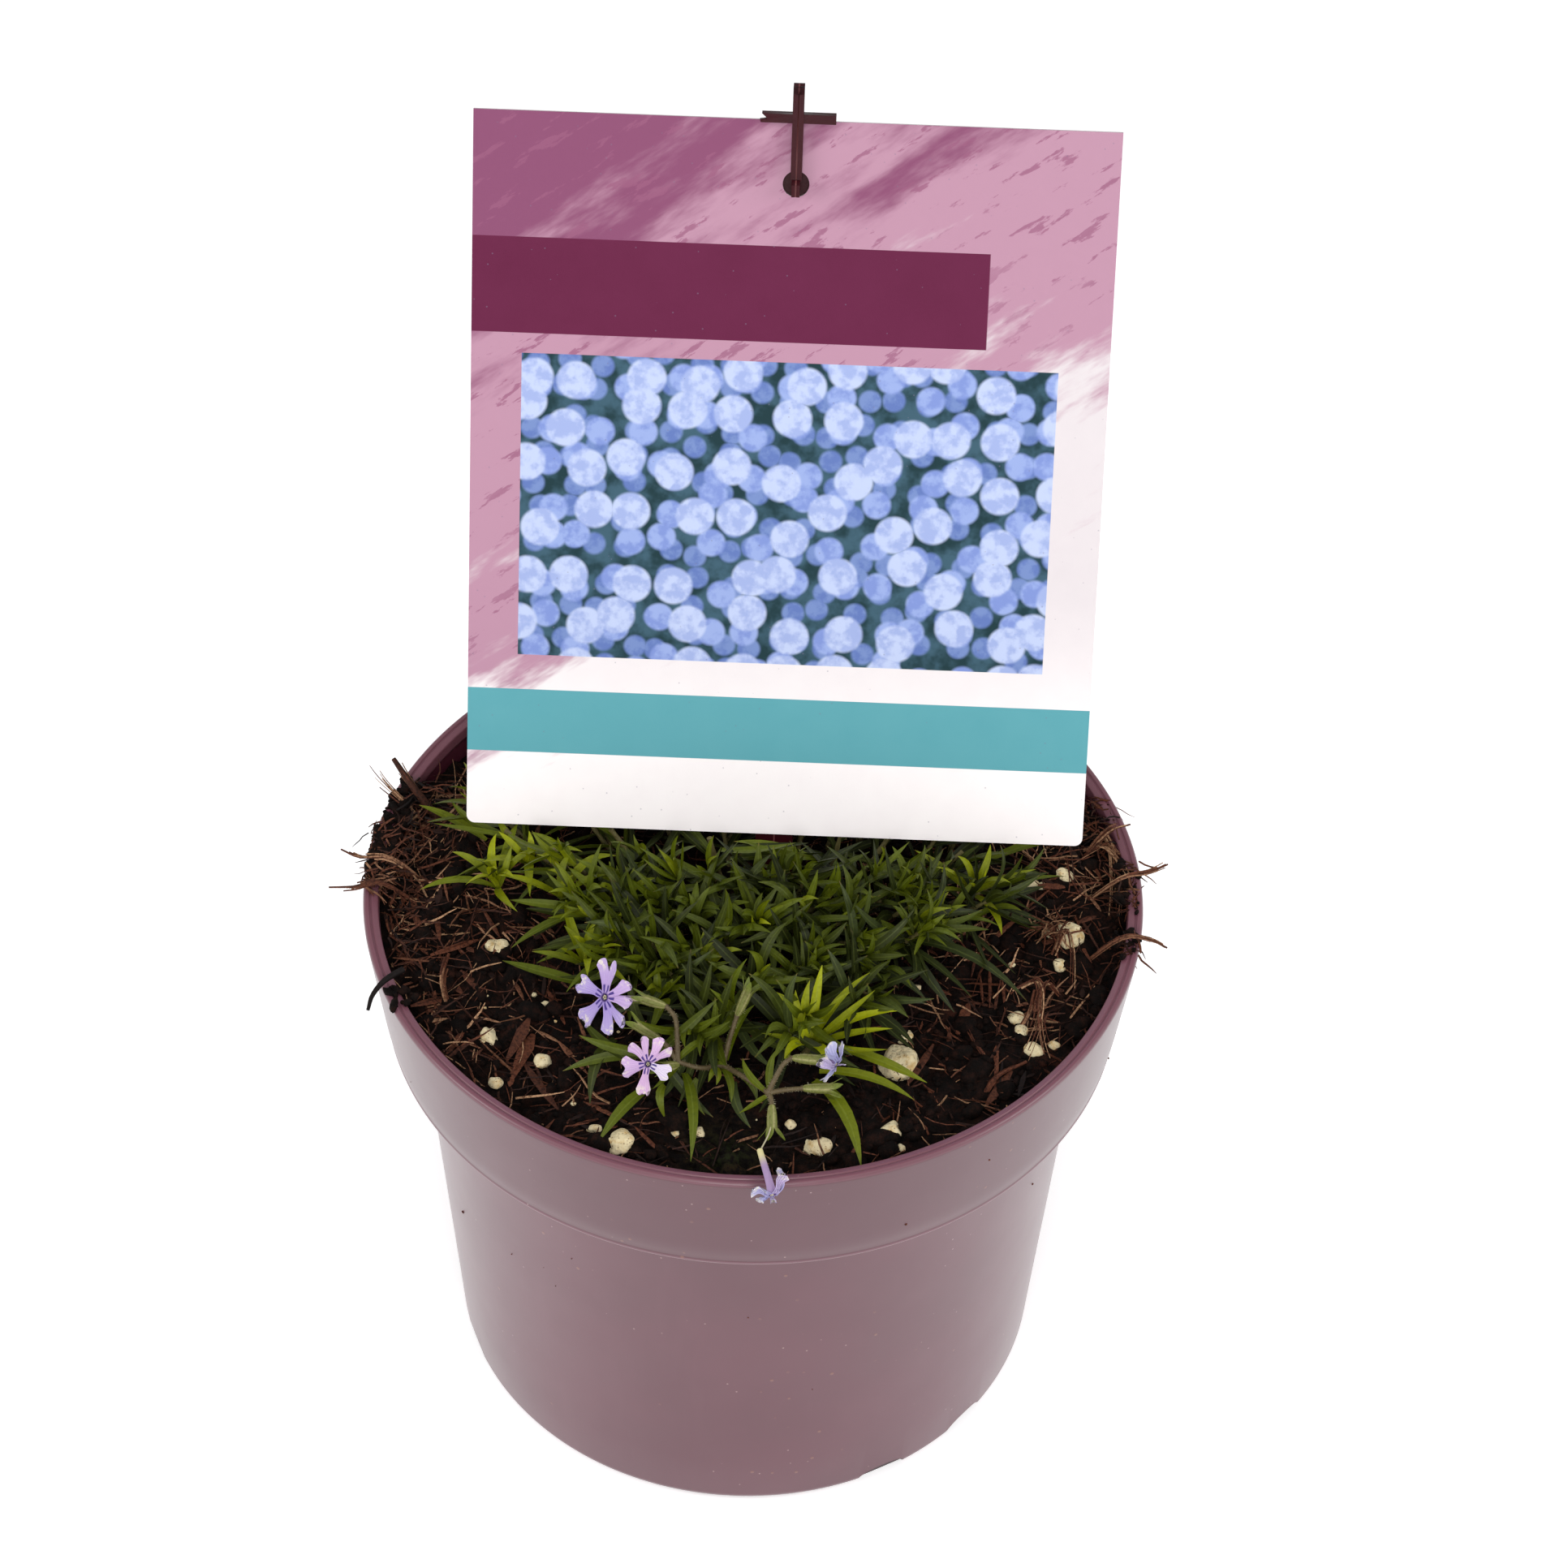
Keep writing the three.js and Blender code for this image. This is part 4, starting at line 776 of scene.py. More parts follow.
# Small grains of perlite: x, y and size.
GRAINS = (
    (-48.9, -50.5, 1.9), (-59.4, -58.6, 1.7), (72.8, -42.9, 1.3), (72.6, -7.2, 1.7), (-32, -77.8, 1.9),
    (-16.4, -72.6, 1.4), (-10.9, -72.1, 1.6), (10.4, -68.8, 1.5), (-35.6, -70.8, 1.4), (-51.9, -31.2, 0.7),
    (-49, -34, 0.9), (-41, -62.6, 0.6), (74.7, -16.1, 1.8), (64.9, -39.8, 2), (36.3, -76.2, 1.3),
    (68.1, 6.9, 1.5), (63.9, 10.4, 1.2), (70.4, 6.2, 1.3),
)
STREWN_GRAINS = 60
STREWN_INNER = 20
STREWN_BAND = 68

# Clods and crumbs all over the bed: how many, how finely each is made, the least size, how much
# it varies and with what power, and how far out they lie.
CLODS = ((800, 2, 0.9, 2, 2, 89), (2600, 1, 0.35, 0.6, 1, 90))

# Peat spilled on the lip: the azimuth of its middle, how far it reaches and how many clods.
LIP_SPILLS = ((173, 14, 110), (162, 8, 50), (205, 4, 14), (2, 12, 26), (-10, 5, 12))
SPILL_INNER = 88.5
SPILL_WIDTH = 6

# Crumbs stuck on the outside of the pot: how many, and the wall's radius at a few heights.
WALL_CRUMBS = 48
WALL_CRUMBS_FROM = 30
WALL_CRUMBS_UP_TO = 142
WALL_OUTSIDE = ((24, 76), (107.5, 82.5), (113.5, 90.75), (144.6, 94.8))

# The soil's skin: its foot and side inside the pot, and the steps of its top towards the middle.
SOIL_WALL = ((71.6, FLOOR_RAISE + WALL + CLEARANCE), (74.3, 24), (80.3, 108.4), (87.8, 115.4))
SOIL_TOP_RADII = np.arange(90.4, 1.0, -0.95)
SOIL_EDGE_TOP = 140.2

# Bark chips: where their ring starts, how wide it is, and how thick a chip is.
CHIP_INNER = 64
CHIP_BAND = 20
CHIP_THICKNESS = 1.2

# Loose litter: how often a place is tried, how far out one starts and ends, and how much of it
# is splinters.
LITTER_TRIES = 6400
LITTER_REACH = 89.5
LITTER_END = 90.5
SPLINTER_SHARE = 0.14
SPLINTER_THICKNESS = 0.9
SPLINTER_LIFT = 0.7

# A splinter's sections from end to end, as place along it and share of its size, and the
# corners of one section.
SPLINTER_STATIONS = ((-0.5, 0.35), (-0.2, 1.0), (0.2, 0.85), (0.5, 0.2))
SPLINTER_SECTION = ((1, 0.6), (0.2, 1), (-1, 0.5), (-0.1, -1))

# Sides of a fine fibre, of one in a bundle and of a stout one, and the steps of a fine one.
FINE_SIDES = 3
BUNDLE_SIDES = 4
STOUT_SIDES = 7
STRAND_STEPS = 4
ROUTE_STEPS = 4

# How far along its route the black fibre starts, where it leaves the soil.
BLACK_FIBRE_START = 6

# Where the soil is heaped and hollow: middle, height and spread.
HEAPS = ((-74, 8, 6, 22), (76, 10, 5, 20), (0, 8, 2.5, 40))
HOLLOWS = ((10, -88, 2.5, 26), (-48, -52, 2, 16))

MOSS_PLACE = (-5, -78)
MOSS_SPREAD = 8


def heap(x, y, centre_x, centre_y, height, spread):
    """A smooth bump of the given height and spread."""
    distance = math.hypot(x - centre_x, y - centre_y) / spread
    return height * math.exp(-distance * distance)


def soil_height(x, y):
    """The soil's height: heaped at both sides, low along the front wall, lumpy all over."""
    heaps = sum(heap(x, y, *place) for place in HEAPS)
    hollow = sum(heap(x, y, *place) for place in HOLLOWS)
    broad = 0.9 * math.sin(0.11 * x + 0.6) * math.cos(0.13 * y - 0.4)
    fine = 0.4 * math.sin(0.27 * x + 0.16 * y) * math.cos(0.23 * y - 0.12 * x)
    return SOIL_LEVEL + heaps - hollow + broad + fine


def crumbly(x, y):
    """The soil's height with its clods and crumbs."""
    clods = 2.2 * wave(x, y, 3, 7) + 1.3 * abs(wave(x, y, 40, 2.6)) + 0.5 * wave(x, y, 80, 1.1)
    return soil_height(x, y) + clods


def lying(x, y, height):
    """A point a little above the crumbs."""
    return vec(x, y, crumbly(x, y) + height)


def moss_share(x, y):
    return heap(x, y, *MOSS_PLACE, 1, MOSS_SPREAD)


def build_soil(material):
    """The crumbly bed of peat that fills the pot."""
    parts = Parts("moss")
    rings = lathe(SOIL_WALL, SOIL_SIDES)
    edge, *top = lathe([(radius, 0) for radius in (SOIL_EDGE_RADIUS, *SOIL_TOP_RADII)], SOIL_SIDES)
    for point in edge:
        point[2] = min(crumbly(point[0], point[1]), SOIL_EDGE_TOP)
    for point in (point for ring in top for point in ring):
        point[2] = crumbly(point[0], point[1])
    points, faces = skin([*rings, edge, *top])
    parts.add(points, faces, moss=[moss_share(p[0], p[1]) for p in points])
    parts.show("peat_bed", material, "soil", ["soil"], crease=80)


def clod(spot, size, template, draw):
    """One uneven clod of peat, flattened and turned at random."""
    stretch = size * vec(0.7 + 0.7 * draw(), 0.7 + 0.5 * draw(), 0.55 + 0.4 * draw())
    turn = math.tau * draw()
    seed = 10 * draw()
    points = []
    for point in template:
        x, y, z = point * stretch * (1 + 0.45 * wave(*(point + seed), 0.8))
        points.append(spot + vec(*turned(x, y, turn), z))
    return points


def build_crumbs(material):
    """Loose clods and crumbs of peat all over the bed, the smallest the most."""
    draw = random_source(77)
    parts = Parts("moss")
    for count, detail, least, span, power, reach in CLODS:
        points, faces = ball_template(detail)
        for _ in range(count):
            size = least + span * draw() ** power
            spot = lying(*polar(reach * math.sqrt(draw()), math.tau * draw())[:2], 0.25 * size)
            parts.add(clod(spot, size, points, draw), faces, moss=moss_share(spot[0], spot[1]))
    points, faces = ball_template(2)
    for middle, reach, count in LIP_SPILLS:
        for _ in range(count):
            radius = SPILL_INNER + SPILL_WIDTH * draw()
            spot = polar(radius, math.radians(middle + reach * (draw() - 0.5)), POT_HEIGHT + 0.2)
            parts.add(clod(spot, 0.5 + 1.1 * draw() ** 2, points, draw), faces)
    parts.show("peat_crumbs", material, "soil", crease=75)


def splinter(middle, heading, length, width, thickness, draw):
    """A flat torn splinter, narrowed and bent at both ends."""
    across = unit(np.cross(heading, UP))
    over = np.cross(across, heading)
    bend = 0.12 * length * (draw() - 0.5)
    rings = []
    for share, size in SPLINTER_STATIONS:
        centre = middle + heading * length * share + across * bend * (0.25 - share ** 2)
        w = 0.5 * width * size * (0.8 + 0.4 * draw())
        h = 0.5 * thickness * (0.5 + 0.5 * size)
        rings.append([centre + across * w * a + over * h * b for a, b in SPLINTER_SECTION])
    return skin(rings)


def strand(start, heading, length, radius, curl, draw):
    """A thin fibre that wanders as it goes."""
    points = [start]
    for _ in range(STRAND_STEPS):
        heading = unit(heading + curl * drift(draw))
        points.append(points[-1] + heading * length / STRAND_STEPS)
    return tube(points, radius * vec(1, 1, 0.9, 0.7, 0.3), FINE_SIDES)


def bundle(parts, route, count, spread, tone, draw, stout=1.0):
    """Fibres that follow one route side by side and fray towards its end."""
    run = smooth_run(route, ROUTE_STEPS)
    for _ in range(count):
        shift = spread * drift(draw, 0.6)
        first = int(len(run) * 0.3 * draw())
        last = max(first + 4, int(len(run) * (0.6 + 0.4 * draw())))
        strip = [p + shift * (0.25 + 0.75 * (k / len(run)) ** 1.5) for k, p in enumerate(run)][first:last]
        thick = stout * (0.14 + 0.2 * draw())
        radii = [thick * (1 - 0.6 * k / len(strip)) for k in range(len(strip))]
        parts.add(*tube(strip, radii, BUNDLE_SIDES), tone=clamped(tone + 0.7 * (draw() - 0.5)))


def tangle(parts, middle, spread, count, tone, draw):
    """A knot of short curled fibres around one place."""
    for _ in range(count):
        start = vec(*middle) + 2 * drift(draw, 1) * vec(*spread)
        heading = unit(drift(draw))
        if heading @ start > 0:
            heading = -heading
        fibre = strand(start, heading, 3 + 5 * draw(), 0.14 + 0.2 * draw(), 0.9, draw)
        parts.add(*fibre, tone=clamped(tone + 0.6 * (draw() - 0.5)))


def side_crowding(azimuth):
    """How thickly fibres lie at an azimuth: most at the pot's left, many at its right."""
    degrees = math.degrees(wrapped(azimuth))
    left = math.exp(-((abs(degrees) - 180) / 42) ** 2)
    right = math.exp(-((degrees - 2) / 30) ** 2)
    return 0.3 + 0.7 * max(left, 0.8 * right)


def add_chips(parts, draw):
    """The solid model's bark chips, and the splinters placed one by one."""
    for _ in range(CHIP_COUNT):
        azimuth = math.tau * draw()
        radius = CHIP_INNER + CHIP_BAND * math.sqrt(draw())
        spot = polar(radius, azimuth)
        tilt_x, tilt_y, turn = 0.5 * (draw() - 0.5), 0.5 * (draw() - 0.5), math.pi * draw()
        length, width = 5 + 7 * draw(), 1.3 + 1.2 * draw()
        spot[2] = soil_height(spot[0], spot[1]) + 0.6
        heading = unit(vec(math.cos(turn), math.sin(turn), -tilt_y + 0.3 * tilt_x))
        chip = splinter(spot, heading, length, width, CHIP_THICKNESS, draw)
        parts.add(*chip, tone=0.25 + 0.3 * draw())
    for x0, y0, x1, y1, width, tone in SPLINTERS:
        start, end = lying(x0, y0, SPLINTER_LIFT), lying(x1, y1, SPLINTER_LIFT)
        length = np.linalg.norm(end - start)
        middle, heading = (start + end) / 2, (end - start) / length
        parts.add(*splinter(middle, heading, length, width, SPLINTER_THICKNESS, draw), tone=tone)


def add_stout_fibres(parts, draw):
    """The solid model's stiff fibres and twigs, and the finer ones in bundles and knots."""
    for i, route in enumerate((*RIM_FIBRES, *TWIGS)):
        run = smooth_run(route, ROUTE_STEPS)
        twig = i >= len(RIM_FIBRES)
        thick = {BLACK_FIBRE: 0.85, STUB: 1.2}.get(i, 0.75 if twig else 0.45)
        if i == BLACK_FIBRE:
            run = run[BLACK_FIBRE_START:]
        radii = [thick * (1 - 0.5 * k / (len(run) - 1)) for k in range(len(run))]
        parts.add(*tube(run, radii, STOUT_SIDES), tone={BLACK_FIBRE: 0.0, STUB: 0.22}.get(i, 0.4))
        if i != BLACK_FIBRE:
            bundle(parts, route, 6 if twig else 9, 2.8, 0.5, draw, 1.4)
    for route, count in ROOT_BUNDLES:
        bundle(parts, route, count, 4.5, 0.7, draw)
    for place in TANGLES:
        tangle(parts, *place, draw)


def add_loose_litter(parts, draw):
    """Loose fibres and small splinters strewn on the bed, thickest at both sides."""
    for _ in range(LITTER_TRIES):
        azimuth = math.tau * draw()
        crowding = side_crowding(azimuth)
        radius = LITTER_REACH * math.sqrt(draw())
        if draw() > crowding * (0.45 + 0.55 * (radius / 90) ** 2):
            continue
        spot = lying(*polar(radius, azimuth)[:2], 0.2 + 0.7 * draw())
        turn = math.tau * draw()
        length = 3.5 + 10 * draw() ** 1.6
        heading = unit(vec(math.cos(turn), math.sin(turn), 0.45 * (draw() - 0.3)))
        end = spot + heading * length
        if math.hypot(end[0], end[1]) > LITTER_END:
            heading[:2] *= -1
            end = spot + heading * length
        if end[2] < crumbly(end[0], end[1]) - 0.6:
            heading = unit(vec(heading[0], heading[1], 0.1))
        tone = 0.07 + 0.95 * draw() ** 2 + 0.2 * (crowding - 0.3)
        if draw() < SPLINTER_SHARE:
            width = 0.6 + 1.1 * draw() ** 2
            parts.add(*splinter(spot, heading, 0.8 * length, width, 0.5, draw), tone=0.6 * tone)
        else:
            fibre = strand(spot, heading, length, 0.12 + 0.24 * draw() ** 1.5, 0.55, draw)
            parts.add(*fibre, tone=min(1.0, tone))


def add_wall_crumbs(parts):
    """Brown crumbs stuck on the outside of the pot, most of them on the collar."""
    draw = random_source(63)
    points, faces = ball_template(1)
    for _ in range(WALL_CRUMBS):
        height = WALL_CRUMBS_FROM + (WALL_CRUMBS_UP_TO - WALL_CRUMBS_FROM) * math.sqrt(draw())
        spot = polar(interpolate(WALL_OUTSIDE, height), math.tau * draw(), height)
        parts.add(clod(spot, 0.16 + 0.4 * draw() ** 2, points, draw), faces, tone=0.35 + 0.3 * draw())


def build_litter(material):
    """Bark splinters, sticks and dry root fibres lying on the peat and leaning over the lip."""
    parts = Parts("tone")
    draw = random_source(41)
    # The solid model's lumps take three draws each before its chips.
    for _ in range(3 * len(LUMPS)):
        draw()
    add_chips(parts, draw)
    add_stout_fibres(parts, draw)
    add_loose_litter(parts, draw)
    add_wall_crumbs(parts)
    parts.show("peat_litter", material, "soil", crease=60)


def build_perlite(material):
    """The lumps of the solid model, knobbly, and small grains strewn between them."""
    parts = Parts()
    draw = random_source(41)
    points, faces = ball_template(4)
    for x, y, size in LUMPS:
        stretch = vec(1 + 0.35 * draw(), 0.8 + 0.3 * draw(), 0.75)
        turn = math.pi * draw()
        spot = lying(x, y, 0.15 * size)
        lump = []
        for point in points:
            knobs = 0.92 + 0.34 * wave(*(point + x), 0.9) + 0.06 * wave(*(point + y), 0.3)
            a, b, c = point * stretch * size * knobs
            lump.append(spot + vec(*turned(a, b, turn), c))
        parts.add(lump, faces)
    points, faces = ball_template(3)
    strewn = [(*polar(STREWN_INNER + STREWN_BAND * draw(), math.tau * draw())[:2], 0.3 + 0.6 * draw() ** 2)
              for _ in range(STREWN_GRAINS)]
    for x, y, size in (*GRAINS, *strewn):
        spot = lying(x, y, 0.35 * size)
        stretch = size * vec(0.8 + 0.6 * draw(), 0.8 + 0.4 * draw(), 0.8)
        seed = 10 * draw()
        grain = [spot + point * stretch * (0.95 + 0.3 * wave(*(point + seed), 0.9)) for point in points]
        parts.add(grain, faces)
    parts.show("perlite", material, "soil", crease=180)


# ---------------------------------------------------------------- label and stake


def label_axes():
    """The label's own directions: across the card, up the card and out of its face."""
    across = polar(1, math.radians(LABEL_YAW))
    back = vec(-across[1], across[0], 0)
    lean = math.radians(LABEL_LEAN)
    upward = math.sin(lean) * back + math.cos(lean) * UP
    return np.array([across, upward, np.cross(across, upward)])


LABEL_AXES = label_axes()
CARD_CORNER_STEPS = 8
CARD_HOLE_STEPS = 64


def on_label(x, y, z):
    """The place of a point given in the label's own frame."""
    return LABEL_FOOT + vec(x, y, z) @ LABEL_AXES


def build_label(material):
    """The card, printed on its front, with rounded lower corners and a punched hole."""
    half, corner = LABEL_WIDTH / 2, LABEL_CORNER_RADIUS
    quarter = np.linspace(0, math.pi / 2, CARD_CORNER_STEPS)
    outline = [
        *((-half + corner - corner * math.cos(t), corner - corner * math.sin(t)) for t in quarter),
        *((half - corner + corner * math.sin(t), corner - corner * math.cos(t)) for t in quarter),
        (half, LABEL_HEIGHT), (-half, LABEL_HEIGHT),
    ]
    hole = [(LABEL_HOLE_RADIUS * math.cos(-t), LABEL_HOLE_HEIGHT + LABEL_HOLE_RADIUS * math.sin(-t))
            for t in turns(CARD_HOLE_STEPS)]
    flat = [*outline, *hole]
    triangles = tessellate_polygon([[Vector((x, y, 0)) for x, y in loop] for loop in (outline, hole)])
    depth = LABEL_THICKNESS / 2
    count = len(flat)
    points = [on_label(x, y, z) for z in (depth, -depth) for x, y in flat]
    faces = [*triangles, *([count + i for i in triangle] for triangle in triangles)]
    start = 0
    for loop in (outline, hole):
        for i in range(len(loop)):
            a, b = start + i, start + (i + 1) % len(loop)
            faces.append((a, b, b + count, a + count))
        start += len(loop)
    card_x, card_y = zip(*flat)
    parts = Parts("card_x", "card_y", "front")
    parts.add(points, faces, card_x=card_x * 2, card_y=card_y * 2, front=[1.0] * count + [0.0] * count)
    parts.show("label_card", material, "label", ["label"], crease=30)


# Depths from the middle of the card out.
CARD_FACE = LABEL_THICKNESS / 2 + CLEARANCE
STAKE_FRONT = -CARD_FACE
STAKE_BACK = STAKE_FRONT - STAKE_THICKNESS
HOOK_FRONT = CARD_FACE + HOOK_THICKNESS
PEG_WIDTH = 1.9
PEG_FRONT = HOOK_FRONT + 1.9
STAKE_POINT_LENGTH = 16
STAKE_BEVEL = 0.12
STAKE_GROOVE = 0.22
HOOK_GROOVE = 0.16
GROOVE_DEPTH = 0.25


def label_prism(outline, back, front):
    """A mesh of an outline in the label's plane, from its back to its front depth."""
    return solid([[on_label(x, y, z) for x, y in outline] for z in (back, front)])


def label_block(low, high):
    """A box in the label's frame between two of its corners."""
    (x0, y0, z0), (x1, y1, z1) = low, high
    return label_prism([(x0, y0), (x1, y0), (x1, y1), (x0, y1)], z0, z1)


def cross_bar():
    """The bar's lip before the card and its body behind, both snipped to a tongue at the left."""
    half = CROSS_BAR_WIDTH / 2
    low = LABEL_HEIGHT - CROSS_BAR_DROP
    top = low + CROSS_BAR_HEIGHT
    rest = LABEL_HEIGHT + CLEARANCE
    snip = [(-half + 0.45, top), (-half + 1.7, low + 0.95)]
    lip = [(half, low), (half, top), *snip, (-half, low + 0.75), (-half + 0.2, low)]
    backing = [(half, rest), (half, top), *snip, (-half + 1.7, rest)]
    return (
        label_prism(lip, CARD_FACE, HOOK_FRONT - 0.4),
        label_prism(backing, STAKE_FRONT - 0.35, CARD_FACE + 0.2),
    )


def peg(low, high):
    """The hook's end: a short peg through the card's hole, its top sloped down to the front."""
    back, front = STAKE_FRONT + CLEARANCE, PEG_FRONT
    side = [(low, back), (low, front), (high - 0.9, front), (high, front - 0.9), (high, back)]
    return solid([[on_label(x, y, z) for y, z in side] for x in (-PEG_WIDTH / 2, PEG_WIDTH / 2)])


def build_stake(material):
    """Flat pointed shaft with a groove, cross bar with a snipped end, and the hook."""
    half, hook = STAKE_WIDTH / 2, HOOK_WIDTH / 2
    bottom = -STAKE_DEPTH_BELOW_LABEL
    hook_top = LABEL_HEIGHT + HOOK_RISE
    peg_low, peg_high = LABEL_HOLE_HEIGHT - 2.2, LABEL_HOLE_HEIGHT + 1.5
    shoulder = bottom + STAKE_POINT_LENGTH
    shaft = [(-half, LABEL_HEIGHT + 1), (-half, shoulder), (-1.2, bottom), (1.2, bottom),
             (half, shoulder), (half, LABEL_HEIGHT + 1)]
    mesh = label_prism(shaft, STAKE_BACK, STAKE_FRONT)
    for piece in (
        *cross_bar(),
        label_block((-hook, LABEL_HEIGHT - 1, STAKE_BACK), (hook, hook_top, STAKE_BACK + HOOK_THICKNESS)),
        label_block((-hook, hook_top - 1.7, STAKE_BACK), (hook, hook_top, HOOK_FRONT)),
        label_block((-hook, peg_high - 0.4, CARD_FACE), (hook, hook_top, HOOK_FRONT)),
        peg(peg_low, peg_high),
    ):
        mesh = boolean(mesh, "UNION", piece)
    for groove in (
        label_block((-STAKE_GROOVE, -30, STAKE_BACK - 1), (STAKE_GROOVE, LABEL_HEIGHT - 4, STAKE_BACK + 0.5)),
        label_block((-HOOK_GROOVE, peg_high - 1, HOOK_FRONT - GROOVE_DEPTH),
                    (HOOK_GROOVE, hook_top - 0.5, HOOK_FRONT + 0.5)),
        label_block((-HOOK_GROOVE, peg_low - 1, PEG_FRONT - GROOVE_DEPTH),
                    (HOOK_GROOVE, peg_high, PEG_FRONT + 1.1)),
    ):
        mesh = boolean(mesh, "DIFFERENCE", groove)
    mesh = modified(mesh, "BEVEL", width=STAKE_BEVEL * MM, segments=2,
                    limit_method="ANGLE", angle_limit=math.radians(40))
    make_piece("hook_stake", mesh, material, "stake", ["label_stake"], crease=35)


# ---------------------------------------------------------------- flower spray

HUB = (-5.8, -59.9, 149)
FORK = (4.9, -70.2, 151.2)
LEFT_FORK = (-16.4, -61.5, 151.5)
SPRAY_FOOT = (-6, -46, 131)
STALKS = (
    (SPRAY_FOOT, (-6, -46, 142), (-6, -51, 146.5), HUB),
    (HUB, (-4.5, -56, 153.5), (-2.8, -51.6, 157.5)),
    (HUB, (-0.5, -65.5, 151), FORK),
    (FORK, (6.4, -68.4, 154), (8.3, -66, 156.6), (10.5, -64.8, 157.8)),
    (FORK, (9, -69.8, 152), (13, -69.2, 152)),
    (FORK, (5.6, -71.6, 151), (5.9, -73, 150.2)),
    (HUB, (-11, -62.4, 150.6), LEFT_FORK),
    (LEFT_FORK, (-16.6, -58, 154.5), (-17.2, -54.2, 158.4), (-19.6, -51.8, 160.2)),
    (LEFT_FORK, (-19, -58.6, 153.6), (-21, -57.3, 155)),
)

# Calyces: where each starts, the way it points, and how far its sepals open.
CALYCES = (
    ((-2.9, -51.8, 157.3), (-0.5, -48.6, 162), 0.5),
    ((10.3, -64.9, 157.7), (16, -65.8, 158.2), 0.25),
    ((12.8, -69.2, 152), (19, -68.7, 151.6), 0.45),
    ((5.9, -72.8, 150.3), (6.1, -76.8, 146.8), 0.8),
    ((-16.2, -62.3, 151.3), (-19.8, -65, 153.4), 0.3),
    ((-19.4, -51.9, 160.1), (-24.6, -50.3, 160.6), 0.25),
    ((-20.8, -57.4, 154.9), (-26, -55.4, 157), 0.45),
)

STYLE_THREAD = ((6.1, -76, 147.4), (5.2, -80.3, 147.7), (3.7, -84.35, 147.65))

# Small leaves on the stalks: root, tip and width.
BRACTS = (
    ((-5.1, -58.9, 149.6), (1.2, -48.7, 158), 2.4),
    ((-16.6, -61, 151.2), (-9.8, -55.8, 153.5), 1.9),
    ((-16.2, -61.9, 151.3), (-22, -68.5, 149.6), 1.7),
    ((4.6, -69.8, 151.2), (-1.2, -63.4, 155.5), 1.9),
    ((5.2, -69.8, 151.4), (6.4, -62.2, 157), 1.8),
    ((-6.2, -60.3, 148.8), (-3.6, -69.5, 146.8), 1.9),
    ((5.2, -70.4, 151), (-1.8, -73.5, 147.4), 1.6),
    ((-5.6, -52, 147), (-12.5, -48.5, 154), 2.2),
)

CALYX_STEPS = 50
STALK_STEPS = 6
STALK_SIDES = 10
THREAD_RADIUS = 0.2
THREAD_SIDES = 6
HAIR_RADIUS = 0.03
HAIRS_PER_STEP = 4
HAIRS_PER_CALYX = 26
HAIR_TAPER = ((-0.2, 1), (0.6, 0.7), (1, 0.15))

# A calyx from its foot up the outside, as place along it and share of its radius, and from its
# rim up the sepals and down their inside, as share of their length and how far in it lies.
CALYX_CUP = ((0, 0.42), (0.12, 0.7), (0.45, 0.95), (0.8, 1.02), (1, 1))
CALYX_SEPALS = ((0.5, 0.0), (1.0, 0.0), (1.0, 0.12), (0.5, 0.14), (0.0, 0.18))
CALYX_ALONG = (0, 0.1, 0.3, 0.55, 0.65, 0.85, 1, 1, 0.85, 0.65, 0.6)


def calyx(base, mouth, opening):
    """A ribbed cup whose rim runs up into five pointed sepals that spread at their tips."""
    base, mouth = vec(*base), vec(*mouth)
    along = unit(mouth - base)
    side, over = square_to(along)
    steps = range(CALYX_STEPS)
    ribs = [1 + 0.1 * abs(math.cos(2.5 * math.tau * s / CALYX_STEPS)) for s in steps]
    spikes = [max(0.0, 1 - abs(((s + 5) % 10) - 5) / 5) for s in steps]
    rings = []
    for share, size in CALYX_CUP:
        centre = base + (mouth - base) * share
        rings.append(ring_of(centre, side, over, [CALYX_RADIUS * size * rib for rib in ribs]))
    for rise, drop in CALYX_SEPALS:
        ring = []
        for spike_share, turn in zip(spikes, turns(CALYX_STEPS)):
            spike = spike_share ** 0.8 * SEPAL_LENGTH * rise
            spread = CALYX_RADIUS - drop + opening * spike * (0.5 + 0.5 * rise)
            ring.append(mouth + along * spike + around(side, over, turn) * spread)
        rings.append(ring)
    rings.append(ring_of(mouth - along * 0.8, side, over, [CALYX_RADIUS * 0.6] * CALYX_STEPS))
    membrane = [max(0.0, 1 - 2.2 * spike) for spike in spikes]
    return *skin(rings), [share for share in CALYX_ALONG for _ in steps], membrane * len(rings)


def hair(root, outward, length):
    """A stiff hair, three-sided and pointed."""
    side, over = square_to(outward)
    rings = [ring_of(root + outward * length * share, side, over, [HAIR_RADIUS * size] * 3)
             for share, size in HAIR_TAPER]
    return skin(rings)


